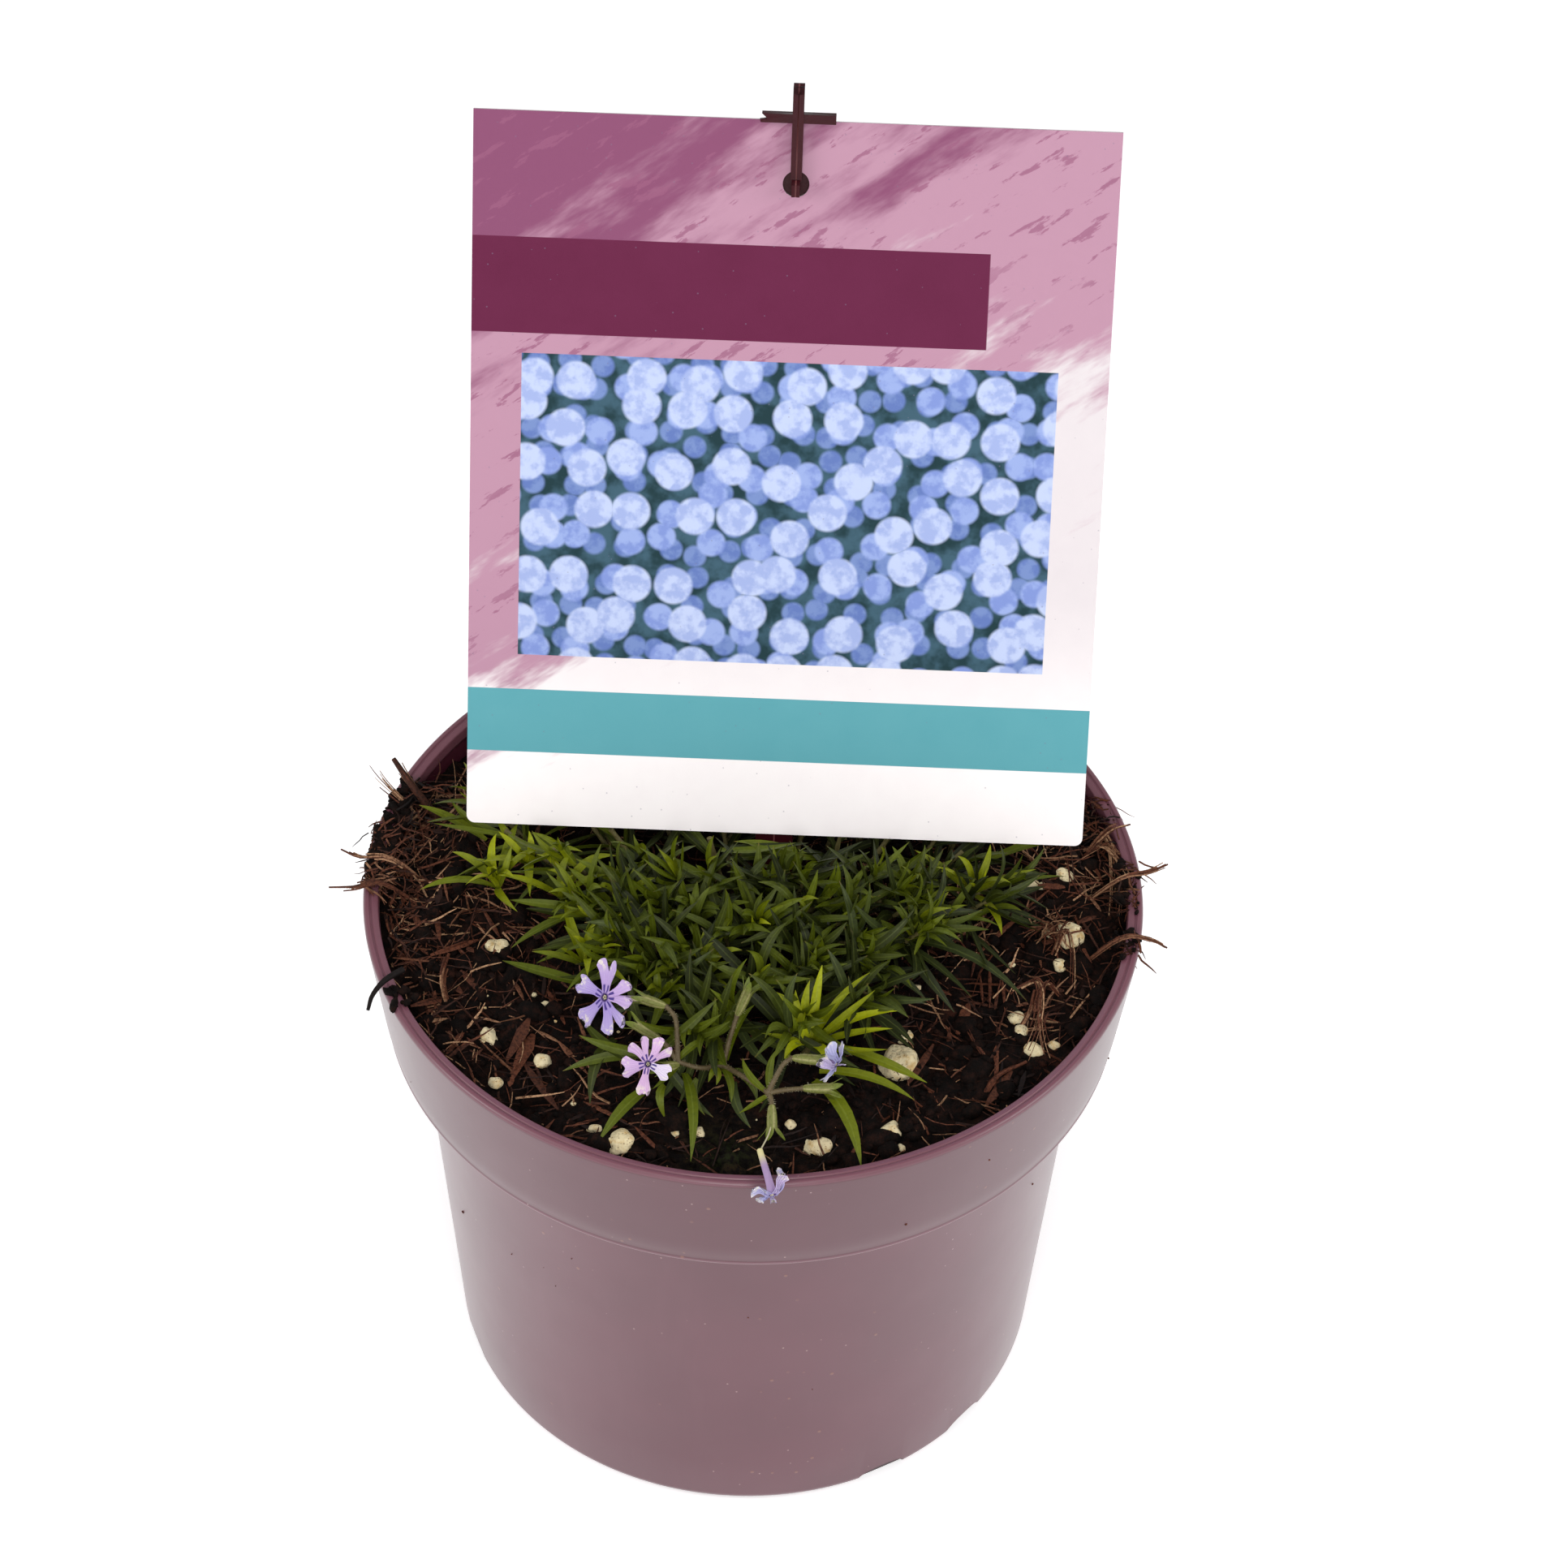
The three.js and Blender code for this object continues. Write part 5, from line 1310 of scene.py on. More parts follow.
def build_spray(stalk_material, hair_material):
    """The branched stalk with its cups, their hairs, and the thread that holds the fallen bloom."""
    parts, hairs = Parts("flush", "along", "membrane"), Parts()
    draw = random_source(63)
    for route in STALKS:
        run = smooth_run(route, STALK_STEPS)
        count = len(run) - 1
        swell = [STALK_RADIUS * (1.05 - 0.2 * k / count + 0.25 * (k in (0, count))) for k in range(count + 1)]
        parts.add(*tube(run, swell, STALK_SIDES), flush=0.85, along=0.2)
        for a, b in zip(run, run[1:]):
            along = unit(b - a)
            side, over = square_to(along)
            for _ in range(HAIRS_PER_STEP):
                outward = around(side, over, math.tau * draw())
                root = a + (b - a) * draw() + outward * STALK_RADIUS * 0.9
                hairs.add(*hair(root, unit(outward + 0.2 * along), 0.2 + 0.35 * draw()))
    for base, mouth, opening in CALYCES:
        points, faces, along, membrane = calyx(base, mouth, opening)
        parts.add(points, faces, flush=0.3, along=along, membrane=membrane)
        axis = vec(*mouth) - vec(*base)
        side, over = square_to(unit(axis))
        for _ in range(HAIRS_PER_CALYX):
            outward = around(side, over, math.tau * draw())
            root = vec(*base) + axis * (0.1 + 0.9 * draw()) + outward * CALYX_RADIUS * 0.9
            hairs.add(*hair(root, outward, 0.3 + 0.3 * draw()))
    thread = smooth_run(STYLE_THREAD, STALK_STEPS)
    hairs.add(*tube(thread, [THREAD_RADIUS] * len(thread), THREAD_SIDES))
    parts.show("spray_stalks", stalk_material, "stalk", ["flower_spray"], crease=60)
    hairs.show("spray_hairs", hair_material, "stalk", crease=60)


# ---------------------------------------------------------------- blooms

# Blooms: centre of the mouth, the way the flower looks, where its tube starts, whether it is
# faded, the size of the whole, how far its first petal is turned round, each petal's own length,
# breadth, notch (where it begins) and bend, the radii of the tube, and how pink it is. Angles
# are in degrees.
BLOOMS = {
    "flower_left": {
        "centre": (-33.7, -50.4, 161), "looks": (-0.62, -0.5, 0.6), "foot": (-24.95, -50.2, 160.55),
        "faded": False, "size": 1.1, "spin": -8, "lengths": (0.85, 1.04, 0.92, 1, 1),
        "breadths": (1.1, 0.85, 0.72, 0.7, 1.05), "notches": (0.42, 0.66, 0.9, 0.94, 0.48),
        "bends": (-6, 8, 16, 2, -4), "tube": (0.66, 0.85), "pink": 0.1,
    },
    "flower_low": {
        "centre": (-23, -67.85, 157.4), "looks": (-0.35, -0.48, 0.8), "foot": (-20.05, -65.2, 153.55),
        "faded": False, "size": 0.88, "spin": 39, "lengths": (0.96, 0.94, 0.9, 1.04, 0.78),
        "breadths": (1.1, 1.05, 1, 0.62, 0.85), "notches": (0.46, 0.52, 0.86, 0.95, 0.8),
        "bends": (4, 0, 6, -4, -12), "tube": (0.62, 0.8), "pink": 0.75,
    },
    "flower_wilted": {
        "centre": (20.3, -66.9, 158.3), "looks": (0.8, -0.45, -0.1), "foot": (16.35, -65.86, 158.22),
        "faded": True, "size": 0.7, "spin": 0, "lengths": (0.6, 1, 1, 0.9, 0.9),
        "breadths": (0.8, 0.9, 1, 0.8, 0.9), "notches": (0.8, 0.7, 0.85, 0.7, 0.8),
        "bends": (-10, -20, -42, -45, -24), "tube": (0.62, 0.8), "pink": 0.0,
    },
    "flower_fallen": {
        "centre": (6.4, -97.5, 147.3), "looks": (0.2, -0.9, -0.38), "foot": (3.4, -84.9, 147.75),
        "faded": True, "size": 0.86, "spin": 0, "lengths": (1.1, 0.85, 1, 0.45, 0.4),
        "breadths": (0.6, 0.55, 0.7, 0.6, 0.6), "notches": (0.9, 0.9, 0.9, 0.9, 0.9),
        "bends": (-72, -50, -5, 30, 40), "tube": (0.72, 1.15), "pink": 0.0,
    },
}

# Half the angle that a petal takes up at each share of the bloom's radius, and the share of the
# radius that its end reaches at each place across it from the notch outward.
PETAL_FOOT = 0.1
PETAL_SPREAD = ((0.1, 0.62), (0.2, 0.62), (0.3, 0.5), (0.46, 0.44), (0.65, 0.47), (0.84, 0.5), (1, 0.42))
PETAL_EDGE = ((0.22, 0.9), (0.42, 0.99), (0.64, 1), (0.85, 0.95), (1, 0.84))
PETALS = 5
PETAL_STEPS = 16
PETAL_ROWS = 15
TUBE_STEPS = 6
TUBE_SIDES = 14
PETAL_THIN = 0.14

# Inside the mouth: how deep each ring of the throat lies, and its share of the mouth's size.
THROAT = ((0.02, 0.9), (0.4, 0.7), (1.6, 0.4))
THROAT_ALONG = 1.6


def petal_share(u, v, notch):
    """The share of the bloom's radius at u along a petal and v across it."""
    edge = interpolate(((0, notch), (0.08, 0.75 * notch + 0.22), *PETAL_EDGE), abs(v))
    return PETAL_FOOT + (edge - PETAL_FOOT) * u


def petal_place(u, v, petal, bloom, phase):
    """A petal's point before it has any thickness: u runs out along it and v across it."""
    radius = BLOOM_RADIUS * bloom["size"]
    faded = bloom["faded"]
    share = petal_share(u, v, bloom["notches"][petal])
    narrow = 1 + (bloom["breadths"][petal] - 1) * clamped((share - 0.15) / 0.2)
    angle = petal * math.tau / PETALS + v * interpolate(PETAL_SPREAD, share) * narrow
    stretched = MOUTH_REACH + (share - MOUTH_REACH) * bloom["lengths"][petal]
    reach = radius * (share if share < MOUTH_REACH else stretched)
    mouth = 1.02 * MOUTH_REACH * radius
    beyond = max(reach - mouth, 0)
    bend = math.radians(bloom["bends"][petal]) * (0.8 + 0.25 * beyond / radius)
    crumple = 1.5 if faded else 0.4
    ripple = crumple * u * wave(reach * math.cos(angle), reach * math.sin(angle), phase, 3)
    cup = PETAL_THICKNESS / 2 + u * (0.9 * v * v - 0.45) * (1 if not faded else 1.6)
    out = min(reach, mouth) + beyond * math.cos(bend) - (cup + ripple) * math.sin(bend)
    lift = beyond * math.sin(bend) + (cup + ripple) * math.cos(bend)
    sway = (1.3 if faded else 0.35) * u * wave(petal, share * 3, phase, 0.8)
    return vec(*turned(out, sway, angle + math.radians(bloom["spin"])), lift)


def bloom_axes(looks):
    """The turn that brings a bloom made facing up to the way it looks."""
    return np.array(Vector(UP).rotation_difference(Vector(unit(vec(*looks)))).to_matrix())


def add_petal(parts, bloom, petal, draw):
    """One notched petal as a thin closed sheet."""
    centre, axes = vec(*bloom["centre"]), bloom_axes(bloom["looks"])
    phase = 10 * draw()
    across = np.linspace(-1, 1, PETAL_ROWS)
    rings, reach, beside = [], [], []
    for u in np.linspace(0, 1, PETAL_STEPS):
        row = [petal_place(u, v, petal, bloom, phase) for v in across]
        ahead = petal_place(u + 0.02, 0, petal, bloom, phase) - petal_place(u, 0, petal, bloom, phase)
        over = unit(np.cross(ahead, row[-1] - row[0]))
        thick = PETAL_THIN * (1 - 0.5 * u)
        ring = [point + over * thick for point in row] + [point - over * thick for point in reversed(row)]
        rings.append([centre + axes @ point for point in ring])
        shares = [petal_share(u, v, bloom["notches"][petal]) for v in across]
        reach += shares + shares[::-1]
        beside += [*across, *across[::-1]]
    points, faces = skin(rings)
    short = not bloom["faded"] and bloom["lengths"][petal] < 0.8
    pink = min(1.0, bloom["pink"] + 0.5 * draw() ** 2)
    parts.add(points, faces, reach=reach, across=beside, pink=pink, pale=0.8 if short else 0.0)


def add_flower_tube(parts, anthers, bloom):
    """The tube, flared to the mouth with a hollow throat, and the anthers inside it."""
    centre, looks, foot = vec(*bloom["centre"]), unit(vec(*bloom["looks"])), vec(*bloom["foot"])
    size = bloom["size"]
    start, end = bloom["tube"]
    mouth = (PETAL_FOOT + 0.03) * BLOOM_RADIUS * size
    route = smooth_run([foot, centre - looks * 2.4, centre + looks * PETAL_THICKNESS / 2], TUBE_STEPS)
    count = len(route) - 1
    flare = max(mouth - end, 0)
    radii = [start + (end - start) * k / count + flare * (k / count) ** 7 for k in range(count + 1)]
    skin_points, _ = tube(route, radii, TUBE_SIDES)
    rings = [skin_points[TUBE_SIDES * k:TUBE_SIDES * (k + 1)] for k in range(count + 1)]
    along = [k / count for k in range(count + 1)]
    rim = route[-1]
    for depth, shrink in THROAT:
        rings.append([rim - looks * depth + (point - rim) * shrink for point in rings[count]])
        along.append(THROAT_ALONG)
    points, faces = skin(rings)
    parts.add(points, faces, along=[share for share in along for _ in range(TUBE_SIDES)])
    side, over = square_to(looks)
    ball, ball_faces = ball_template(2)
    for k in range(PETALS):
        spot = rim + 0.35 * size * around(side, over, math.tau * (k + 0.5) / PETALS) - looks * 0.05
        anthers.add([spot + 0.22 * size * (point * vec(0.8, 0.8, 1.3)) for point in ball], ball_faces)


def build_blooms(fresh, wilted, tubes, anther_material):
    """The petals of each bloom, and the tubes and anthers of them all."""
    draw = random_source(29)
    throat, anthers = Parts("along"), Parts()
    for node, bloom in BLOOMS.items():
        parts = Parts("reach", "across", "pink", "pale")
        for petal in range(PETALS):
            add_petal(parts, bloom, petal, draw)
        add_flower_tube(throat, anthers, bloom)
        look, slot = (wilted, "petal_wilted") if bloom["faded"] else (fresh, "petal")
        parts.show(node.replace("flower", "petals"), look, slot, [node], crease=70)
    throat.show("flower_tubes", tubes, "petal", crease=60)
    anthers.show("anthers", anther_material, "petal", crease=60)


# ---------------------------------------------------------------- leafy shoots

# How far the mat of leaves reaches from its crown, at each azimuth in degrees.
MAT_REACH = (
    (-180, 70), (-165, 60), (-150, 51), (-135, 51), (-114, 78), (-92, 77), (-73, 68), (-54, 58),
    (-37, 52), (-26, 58), (3, 68), (18, 82), (60, 74), (100, 72), (148, 78), (163, 80), (180, 70),
)

# Pairs of leaves from the tip down: place on the stem, angle from it, length and width.
LEAF_PAIRS = ((1, 22, 0.66, 0.8), (0.8, 42, 0.92, 0.95), (0.58, 58, 1.05, 1), (0.36, 71, 1, 1))

# Leaves of the same shoots that stand between those pairs, and those of the extra shoots.
BETWEEN_PAIRS = (
    (1, 9, 0.5, 0.7), (0.97, 18, 0.66, 0.78), (0.9, 36, 0.86, 0.9), (0.68, 56, 0.98, 0.98),
)
EXTRA_PAIRS = (
    (1, 12, 0.46, 0.75), (0.98, 30, 0.66, 0.85), (0.92, 48, 0.84, 0.95), (0.82, 62, 0.94, 1.05),
    (0.66, 72, 1, 1.1), (0.46, 80, 0.96, 1.05),
)
EXTRA_SHOOTS = 46

# Leaf sections from root to tip: place and share of the width.
LEAF_STATIONS = np.array([
    (0, 0.5), (0.08, 0.66), (0.2, 0.86), (0.36, 1), (0.52, 0.97), (0.67, 0.82), (0.8, 0.58),
    (0.91, 0.3), (1, 0.04),
])
# One section: places across and above the leaf's middle, in half widths.
LEAF_SECTION = np.array([(1, 0.16), (0.5, 0.02), (0, -0.08), (-0.5, 0.02), (-1, 0.16), (0, -0.5)])

# Leaves placed one by one: root, tip, width, age and rise of the arch.
SINGLE_LEAVES = (
    ((-22.8, -64.8, 146), (-34.3, -78.3, 141.5), 3, 0.35, 2.5),
    ((-15, -60, 146), (-12.6, -83.1, 141), 2.6, 0.4, 3),
    ((15.6, -62.3, 147), (27, -84.3, 142.2), 3.5, 0.25, 3),
    ((-31.5, -50.8, 147), (-36.8, -66.5, 141.5), 3, 0.7, 2.5),
    ((16.8, -60.2, 148), (39.3, -64.8, 144), 2.8, 0.2, 2),
    ((20.5, -52, 148), (42.2, -60.1, 145), 2.8, 0.35, 2),
    ((33.3, -15.6, 149), (48.9, -35.6, 143), 3.2, 0.95, 3),
    ((38.6, -19.1, 150), (66.2, -32.6, 144.4), 3.4, 0.95, 3),
    ((-38.1, -34.7, 148), (-59.6, -26.4, 147), 3, 0.45, -1),
    ((-66, 14, 147), (-83, 22, 150.5), 2.4, 0.4, 2),
    ((56, 10, 148), (80.5, 19, 149), 2.4, 0.4, 1.5),
    ((58, 2, 147), (76, 6, 148), 2.2, 0.5, 1.5),
    ((54, -8, 147), (65, -7.5, 149.5), 2.2, 0.5, 1.5),
    ((1.5, -4, 147), (1, -1, 164), 3, 0.6, 0),
    ((4, -5, 147), (4.5, -1.5, 163.5), 2.3, 0.45, 0),
    ((6.5, -4, 147), (8, -1, 163.8), 2.2, 0.7, 0),
    ((9, -5, 147), (12, -2, 161), 2.2, 0.55, 0),
    ((-2, -5, 147), (-4, -1.5, 161.5), 2.2, 0.6, 0),
    ((3, -7, 147), (1.5, -5, 160.5), 2.2, 0.4, 0),
    ((6, -8, 147), (7.5, -6, 160), 2.2, 0.65, 0),
    ((2.5, -3, 149), (6.5, -1.5, 163), 2.2, 0.75, 0),
    ((-8, 1, 159), (10, 2.6, 160.6), 2.6, 0.6, 0),
    ((15, 0, 158), (-3, 3, 160.5), 2.6, 0.5, 0),
    ((-6, 3, 158), (13, 2.6, 160.6), 2.4, 0.75, 0),
    ((14, 1, 157), (-5, 3, 160), 2.6, 0.4, 0),
    ((-6, 1, 156), (12, 1, 158.6), 2.6, 0.7, 0),
    ((13, -1, 154), (-4, 1, 157.4), 2.6, 0.8, 0),
    ((12, -4, 153), (0, -1.5, 157), 2.6, 0.5, 0),
    ((-4, -5, 153), (9, -2.5, 156.5), 2.6, 0.7, 0),
    ((-26.5, -60.4, 149.6), (-39.1, -46.4, 148.5), 2.8, 0.6, 1),
    ((-19.3, -64.9, 147), (-18.9, -71.5, 142.5), 2, 0.5, 1.5),
    ((-11.8, -63.4, 148), (-9.7, -70.4, 143), 1.9, 0.6, 1),
    ((-4.6, -61.3, 148.4), (2.4, -67.2, 145), 2.6, 0.75, 1),
    ((-3, -63.4, 147.4), (1.1, -74, 143), 2.4, 0.85, 1.5),
    ((-8, -55.6, 150.5), (-17.4, -43.5, 157), 3.2, 0.7, 1),
    ((9.4, -58.4, 149), (12, -56.4, 153.4), 2.2, 0.3, 0.5),
    ((-7.6, -62.7, 151.3), (-9.1, -66.6, 150.3), 1.5, 0.35, 0.3),
    ((-7.6, -62.7, 151.3), (-7.2, -67.1, 150), 1.4, 0.3, 0.3),
    ((-7.6, -62.7, 151.3), (-5.2, -63.6, 153), 1.4, 0.35, 0.3),
)

# The bright young shoot at the front: its leaves fan from one point.
YOUNG_BASE = (14.4, -53.6, 149.5)
YOUNG_TIPS = (
    (16.8, -41.9, 165), (28.2, -41, 162), (34.7, -49, 157.5), (29.3, -46.8, 162), (33.7, -51.9, 154.5),
    (32.9, -55.5, 151.2), (10.7, -46.4, 161), (4.5, -44.9, 159), (20, -65.5, 152.5), (8.5, -61.4, 153.5),
    (23.5, -49, 163.5), (14, -46, 164), (3, -54, 154),
)

YOUNG_STEM = ((12, -50, 139), (13, -51.5, 144), (13.8, -52.8, 147), YOUNG_BASE)

# Shoot tips seen from above, at the mat's edges and on its heart: base, longest leaf and age.
WHORLS = (
    ((-54.6, 3, 150), 17, 0.1), ((-62, -3.2, 148), 18, 0.12), ((-39, -29.5, 149), 17, 0.08),
    ((-45.7, -8.3, 150), 16, 0.16), ((-10.8, -33.5, 150), 17, 0.22), ((-32.8, -11.3, 151), 16, 0.25),
    ((38.3, -18.6, 149), 17, 0.34), ((46, -13, 149), 16, 0.25), ((53, -2, 149), 19, 0.12),
    ((2.6, -20.8, 152), 16, 0.5), ((22, -9.2, 152), 16, 0.5), ((-22, -40, 149), 15, 0.3),
    ((-14, -18, 152), 16, 0.42), ((12, -34, 151), 16, 0.4), ((30, -30, 150), 15, 0.45),
    ((-3, -7, 153), 14, 0.6), ((38, -4, 151), 15, 0.4),
)

YOUNG_STEM_RADIUS = 0.9
WHORL_LEAVES = 11
STEM_STEPS = 6
STEM_SIDES = 8

# What the solid model's leaves and the added ones keep to: how often one is turned aside to
# come free, the step of each turn, its room, and the shares of a stretch tested for the soil.
MAT_TRIES = 14
MAT_SWING = 0.17
MAT_TESTS = (0.35, 0.7, 1)
ADDED_TRIES = 8
ADDED_SWING = 0.25
ADDED_ROOM = 0.6
ADDED_TESTS = (0.5, 1)

# How far inside the mat's edge the outermost shoots stand, and the outermost of the extra ones.
MAT_INSET = 25
EXTRA_INSET = 23

# How near a leaf may come to the pot's axis and the soil, and to the card's edge and face.
LEAF_REACH = 88
SOIL_ROOM = 1.9
CARD_MARGIN = 2
CARD_ROOM = 3


def mat_reach(azimuth):
    """How far the mat reaches at an azimuth, eased between the places of the table."""
    degrees = math.degrees(azimuth)
    for (start, low), (end, high) in zip(MAT_REACH, MAT_REACH[1:]):
        if degrees <= end:
            blend = (degrees - start) / (end - start)
            return low + (high - low) * blend * blend * (3 - 2 * blend)
    return MAT_REACH[0][1]


def segment_distances(a, b, starts, ends):
    """Closest distances between one straight segment and many."""
    u, v, w = b - a, ends - starts, a - starts
    uu, uv, vv = u @ u, v @ u, (v * v).sum(axis=1)
    uw, vw = w @ u, (v * w).sum(axis=1)
    det = uu * vv - uv * uv
    s = np.where(det > 1e-9, np.clip((uv * vw - vv * uw) / np.where(det > 1e-9, det, 1), 0, 1), 0)
    t = (uv * s + vw) / vv
    outside = (t < 0) | (t > 1)
    t = np.clip(t, 0, 1)
    s = np.where(outside, np.clip((uv * t - uw) / uu, 0, 1), s)
    return np.linalg.norm(w + s[:, None] * u - t[:, None] * v, axis=1)


class Runs:
    """Straight runs that leaves keep clear of: their ends, how near one may come, the owner."""

    def __init__(self):
        self.rows = np.zeros((0, 8))

    def add(self, points, radius, owner=-1):
        rows = [[*a, *b, radius, owner] for a, b in zip(points, points[1:])]
        self.rows = np.vstack([self.rows, rows])

    def clear(self, points, room, owner=-2):
        """True where a path keeps its room from every run that has another owner."""
        others = self.rows[self.rows[:, 7] != owner]
        return all(
            np.all(segment_distances(a, b, others[:, :3], others[:, 3:6]) >= others[:, 6] + room)
            for a, b in zip(points, points[1:])
        )


def fixed_obstacles():
    """Runs along the spray, blooms, lumps, stiff fibres and the stake."""
    runs = Runs()
    for route in STALKS:
        runs.add(route, STALK_RADIUS + 0.5)
    for base, mouth, _ in CALYCES:
        runs.add([base, mouth], CALYX_RADIUS + 1.6)
    runs.add(STYLE_THREAD, 0.9)
    for bloom in BLOOMS.values():
        centre = vec(*bloom["centre"])
        runs.add([bloom["foot"], centre], TUBE_RADIUS + 0.6)
        runs.add([centre, centre + 0.5 * vec(*bloom["looks"])], BLOOM_RADIUS * bloom["size"] * 1.04)
    for x, y, size in LUMPS:
        z = soil_height(x, y)
        runs.add([(x, y, z - 0.5), (x, y, z + 0.5)], size * 1.3)
    for route in (*RIM_FIBRES, *TWIGS):
        runs.add(route, 1)
    for shift in (-3, 0, 3):
        ends = (-STAKE_DEPTH_BELOW_LABEL, LABEL_HEIGHT)
        runs.add([on_label(shift, height, STAKE_BACK + 0.9) for height in ends], 2)
    return runs


def blocked(point):
    """True where a leaf point would touch the soil or the lip, or touch or rise before the card."""
    x, y, z = LABEL_AXES @ (point - LABEL_FOOT)
    across_card = abs(x) < LABEL_WIDTH / 2 + CARD_MARGIN
    if across_card and y > -CARD_MARGIN and abs(z) < CARD_ROOM:
        return True
    if across_card and z > 0 and point[1] + point[2] > CARD_SIGHT:
        return True
    if math.hypot(point[0], point[1]) > LEAF_REACH:
        return True
    return point[2] < soil_height(point[0], point[1]) + SOIL_ROOM


def stem_points(azimuth, reach, share, lean, length):
    """The bent axis of one shoot: straight out of the soil, then outward and up at the tip."""
    outward = polar(1, azimuth)
    heading = outward * math.sin(lean) + UP * math.cos(lean)
    x, y = CROWN[0] + outward[0] * reach, CROWN[1] + outward[1] * reach
    soil = soil_height(x, y)
    collar = vec(x, y, soil + 2.2)
    elbow = collar + outward * length * 0.42 * share + UP * length * 0.3
    return [vec(x, y, soil - 5), collar, elbow, elbow + heading * length * 0.55]


def shoot_stem(number, runs):
    """One shoot of the spiral, drawn in towards the crown until its stem clears every obstacle."""
    draw = random_source(900 + number * 17)
    share = math.sqrt((number + 0.5) / SHOOT_COUNT)
    azimuth = wrapped(number * GOLDEN_ANGLE + 0.25 * (draw() - 0.5))
    lean = math.radians(8 + 50 * share + 10 * (draw() - 0.5))
    length = 13 + 4 * share + 3 * draw()
    reach = (mat_reach(azimuth) - MAT_INSET) * share
    points = stem_points(azimuth, reach, share, lean, length)
    while reach > 4 and not runs.clear(points, STEM_RADIUS + 0.3):
        reach -= 3
        points = stem_points(azimuth, reach, share, lean, length)
    return {"number": number, "draw": draw, "points": points, "leaves": [], "share": share}


def leaf_path(stem, pair, side, turn, lift):
    """One leaf on an arch from the stem: root, middle, tip, the way it faces, and its width."""
    along, spread, long, wide = pair
    _, collar, elbow, tip = stem["points"]
    first, second = collar + (elbow - collar) * along, elbow + (tip - elbow) * along
    point, axis = first + (second - first) * along, unit(second - first)
    across, over = square_to(axis)
    angle = side * math.pi + turn
    outward = across * math.cos(angle) + over * math.sin(angle)
    spread = math.radians(spread - lift)
    length = LEAF_LENGTH * long * (0.88 + 0.2 * stem["vigour"])
    heading = axis * math.cos(spread) + outward * math.sin(spread)
    root = point + outward * 0.35 * STEM_RADIUS
    middle = root + heading * length * 0.5
    arched = unit(heading + UP * 0.18 + outward * 0.1)
    end = middle + arched * length * 0.5
    face = unit(axis - axis.dot(heading) * heading)
    return root, middle, end, face, LEAF_WIDTH * wide


def leaf_clear(runs, leaf, room, shares, owner=-2):
    """True where a leaf keeps its room from the runs of others, and off the soil, lip and card."""
    root, middle, tip = leaf[:3]
    if not runs.clear(leaf[:3], room, owner):
        return False
    return not any(blocked(a + (b - a) * t) for a, b in ((root, middle), (middle, tip)) for t in shares)


def swing(attempt, step):
    """Steps to one side and the other in turn, further each time."""
    return (1 if attempt % 2 == 0 else -1) * math.ceil(attempt / 2) * step


def grow_mat():
    """Grows the solid model's shoots again, leaf by leaf, each bent clear of the rest."""
    runs = fixed_obstacles()
    stems = [shoot_stem(number, runs) for number in range(SHOOT_COUNT)]
    for stem in stems:
        stem["vigour"] = stem["draw"]()
        stem["start"] = math.pi * stem["draw"]()
        runs.add(stem["points"], STEM_RADIUS + 0.4, stem["number"])
    for level, pair in enumerate(LEAF_PAIRS):
        for stem in stems:
            for side in (0, 1):
                base = stem["start"] + level * (math.pi / 2 + 0.12) + 0.5 * (stem["draw"]() - 0.5)
                for attempt in range(MAT_TRIES):
                    leaf = leaf_path(stem, pair, side, base + swing(attempt, MAT_SWING), attempt * 2)
                    if not leaf_clear(runs, leaf, LEAF_SPACING / 2, MAT_TESTS, stem["number"]):
                        continue
                    stem["leaves"].append((leaf, 0.25 + 0.2 * level))
                    runs.add(leaf[:3], LEAF_SPACING / 2 * pair[3], stem["number"])
                    break
    return stems


def add_leaf(parts, leaf, age, draw):
    """A narrow channelled leaf with a keel below, on a curve through its three points."""
    root, middle, tip, face, width = leaf
    middle = middle + unit(np.cross(tip - root, face)) * 3.6 * (draw() - 0.5) + face * 2.8 * (draw() - 0.25)
    control = 2 * middle - 0.5 * root - 0.5 * tip
    t = LEAF_STATIONS[:, :1]
    spine = curve(root, control, tip, t)
    slope = (1 - t) * (control - root) + t * (tip - control)
    slope /= np.linalg.norm(slope, axis=1, keepdims=True)
    across = np.cross(slope, face)
    across /= np.linalg.norm(across, axis=1, keepdims=True)
    upper = np.cross(across, slope)
    half = 0.5 * width * LEAF_STATIONS[:, 1:]
    twist = (draw() - 0.5) * 0.9 * t
    aside = across * np.cos(twist) + upper * np.sin(twist)
    above = upper * np.cos(twist) - across * np.sin(twist)
    rings = [
        [spine[k] + half[k] * (a * aside[k] + b * above[k]) for a, b in LEAF_SECTION]
        for k in range(len(t))
    ]
    parts.add(
        *skin(rings),
        along=[share for share in LEAF_STATIONS[:, 0] for _ in LEAF_SECTION],
        across=[abs(a) for a, _ in LEAF_SECTION] * len(t),
        age=clamped(age + 0.25 * (draw() - 0.5)),
        tone=draw(),
    )


def straight_leaf(root, tip, width, rise):
    """A leaf between two points whose middle rises by the given amount."""
    root, tip = vec(*root), vec(*tip)
    middle = 0.5 * (root + tip) + UP * rise
    along = unit(tip - root)
    face = unit(UP - UP.dot(along) * along + 1e-6)
    return root, middle, tip, face, width


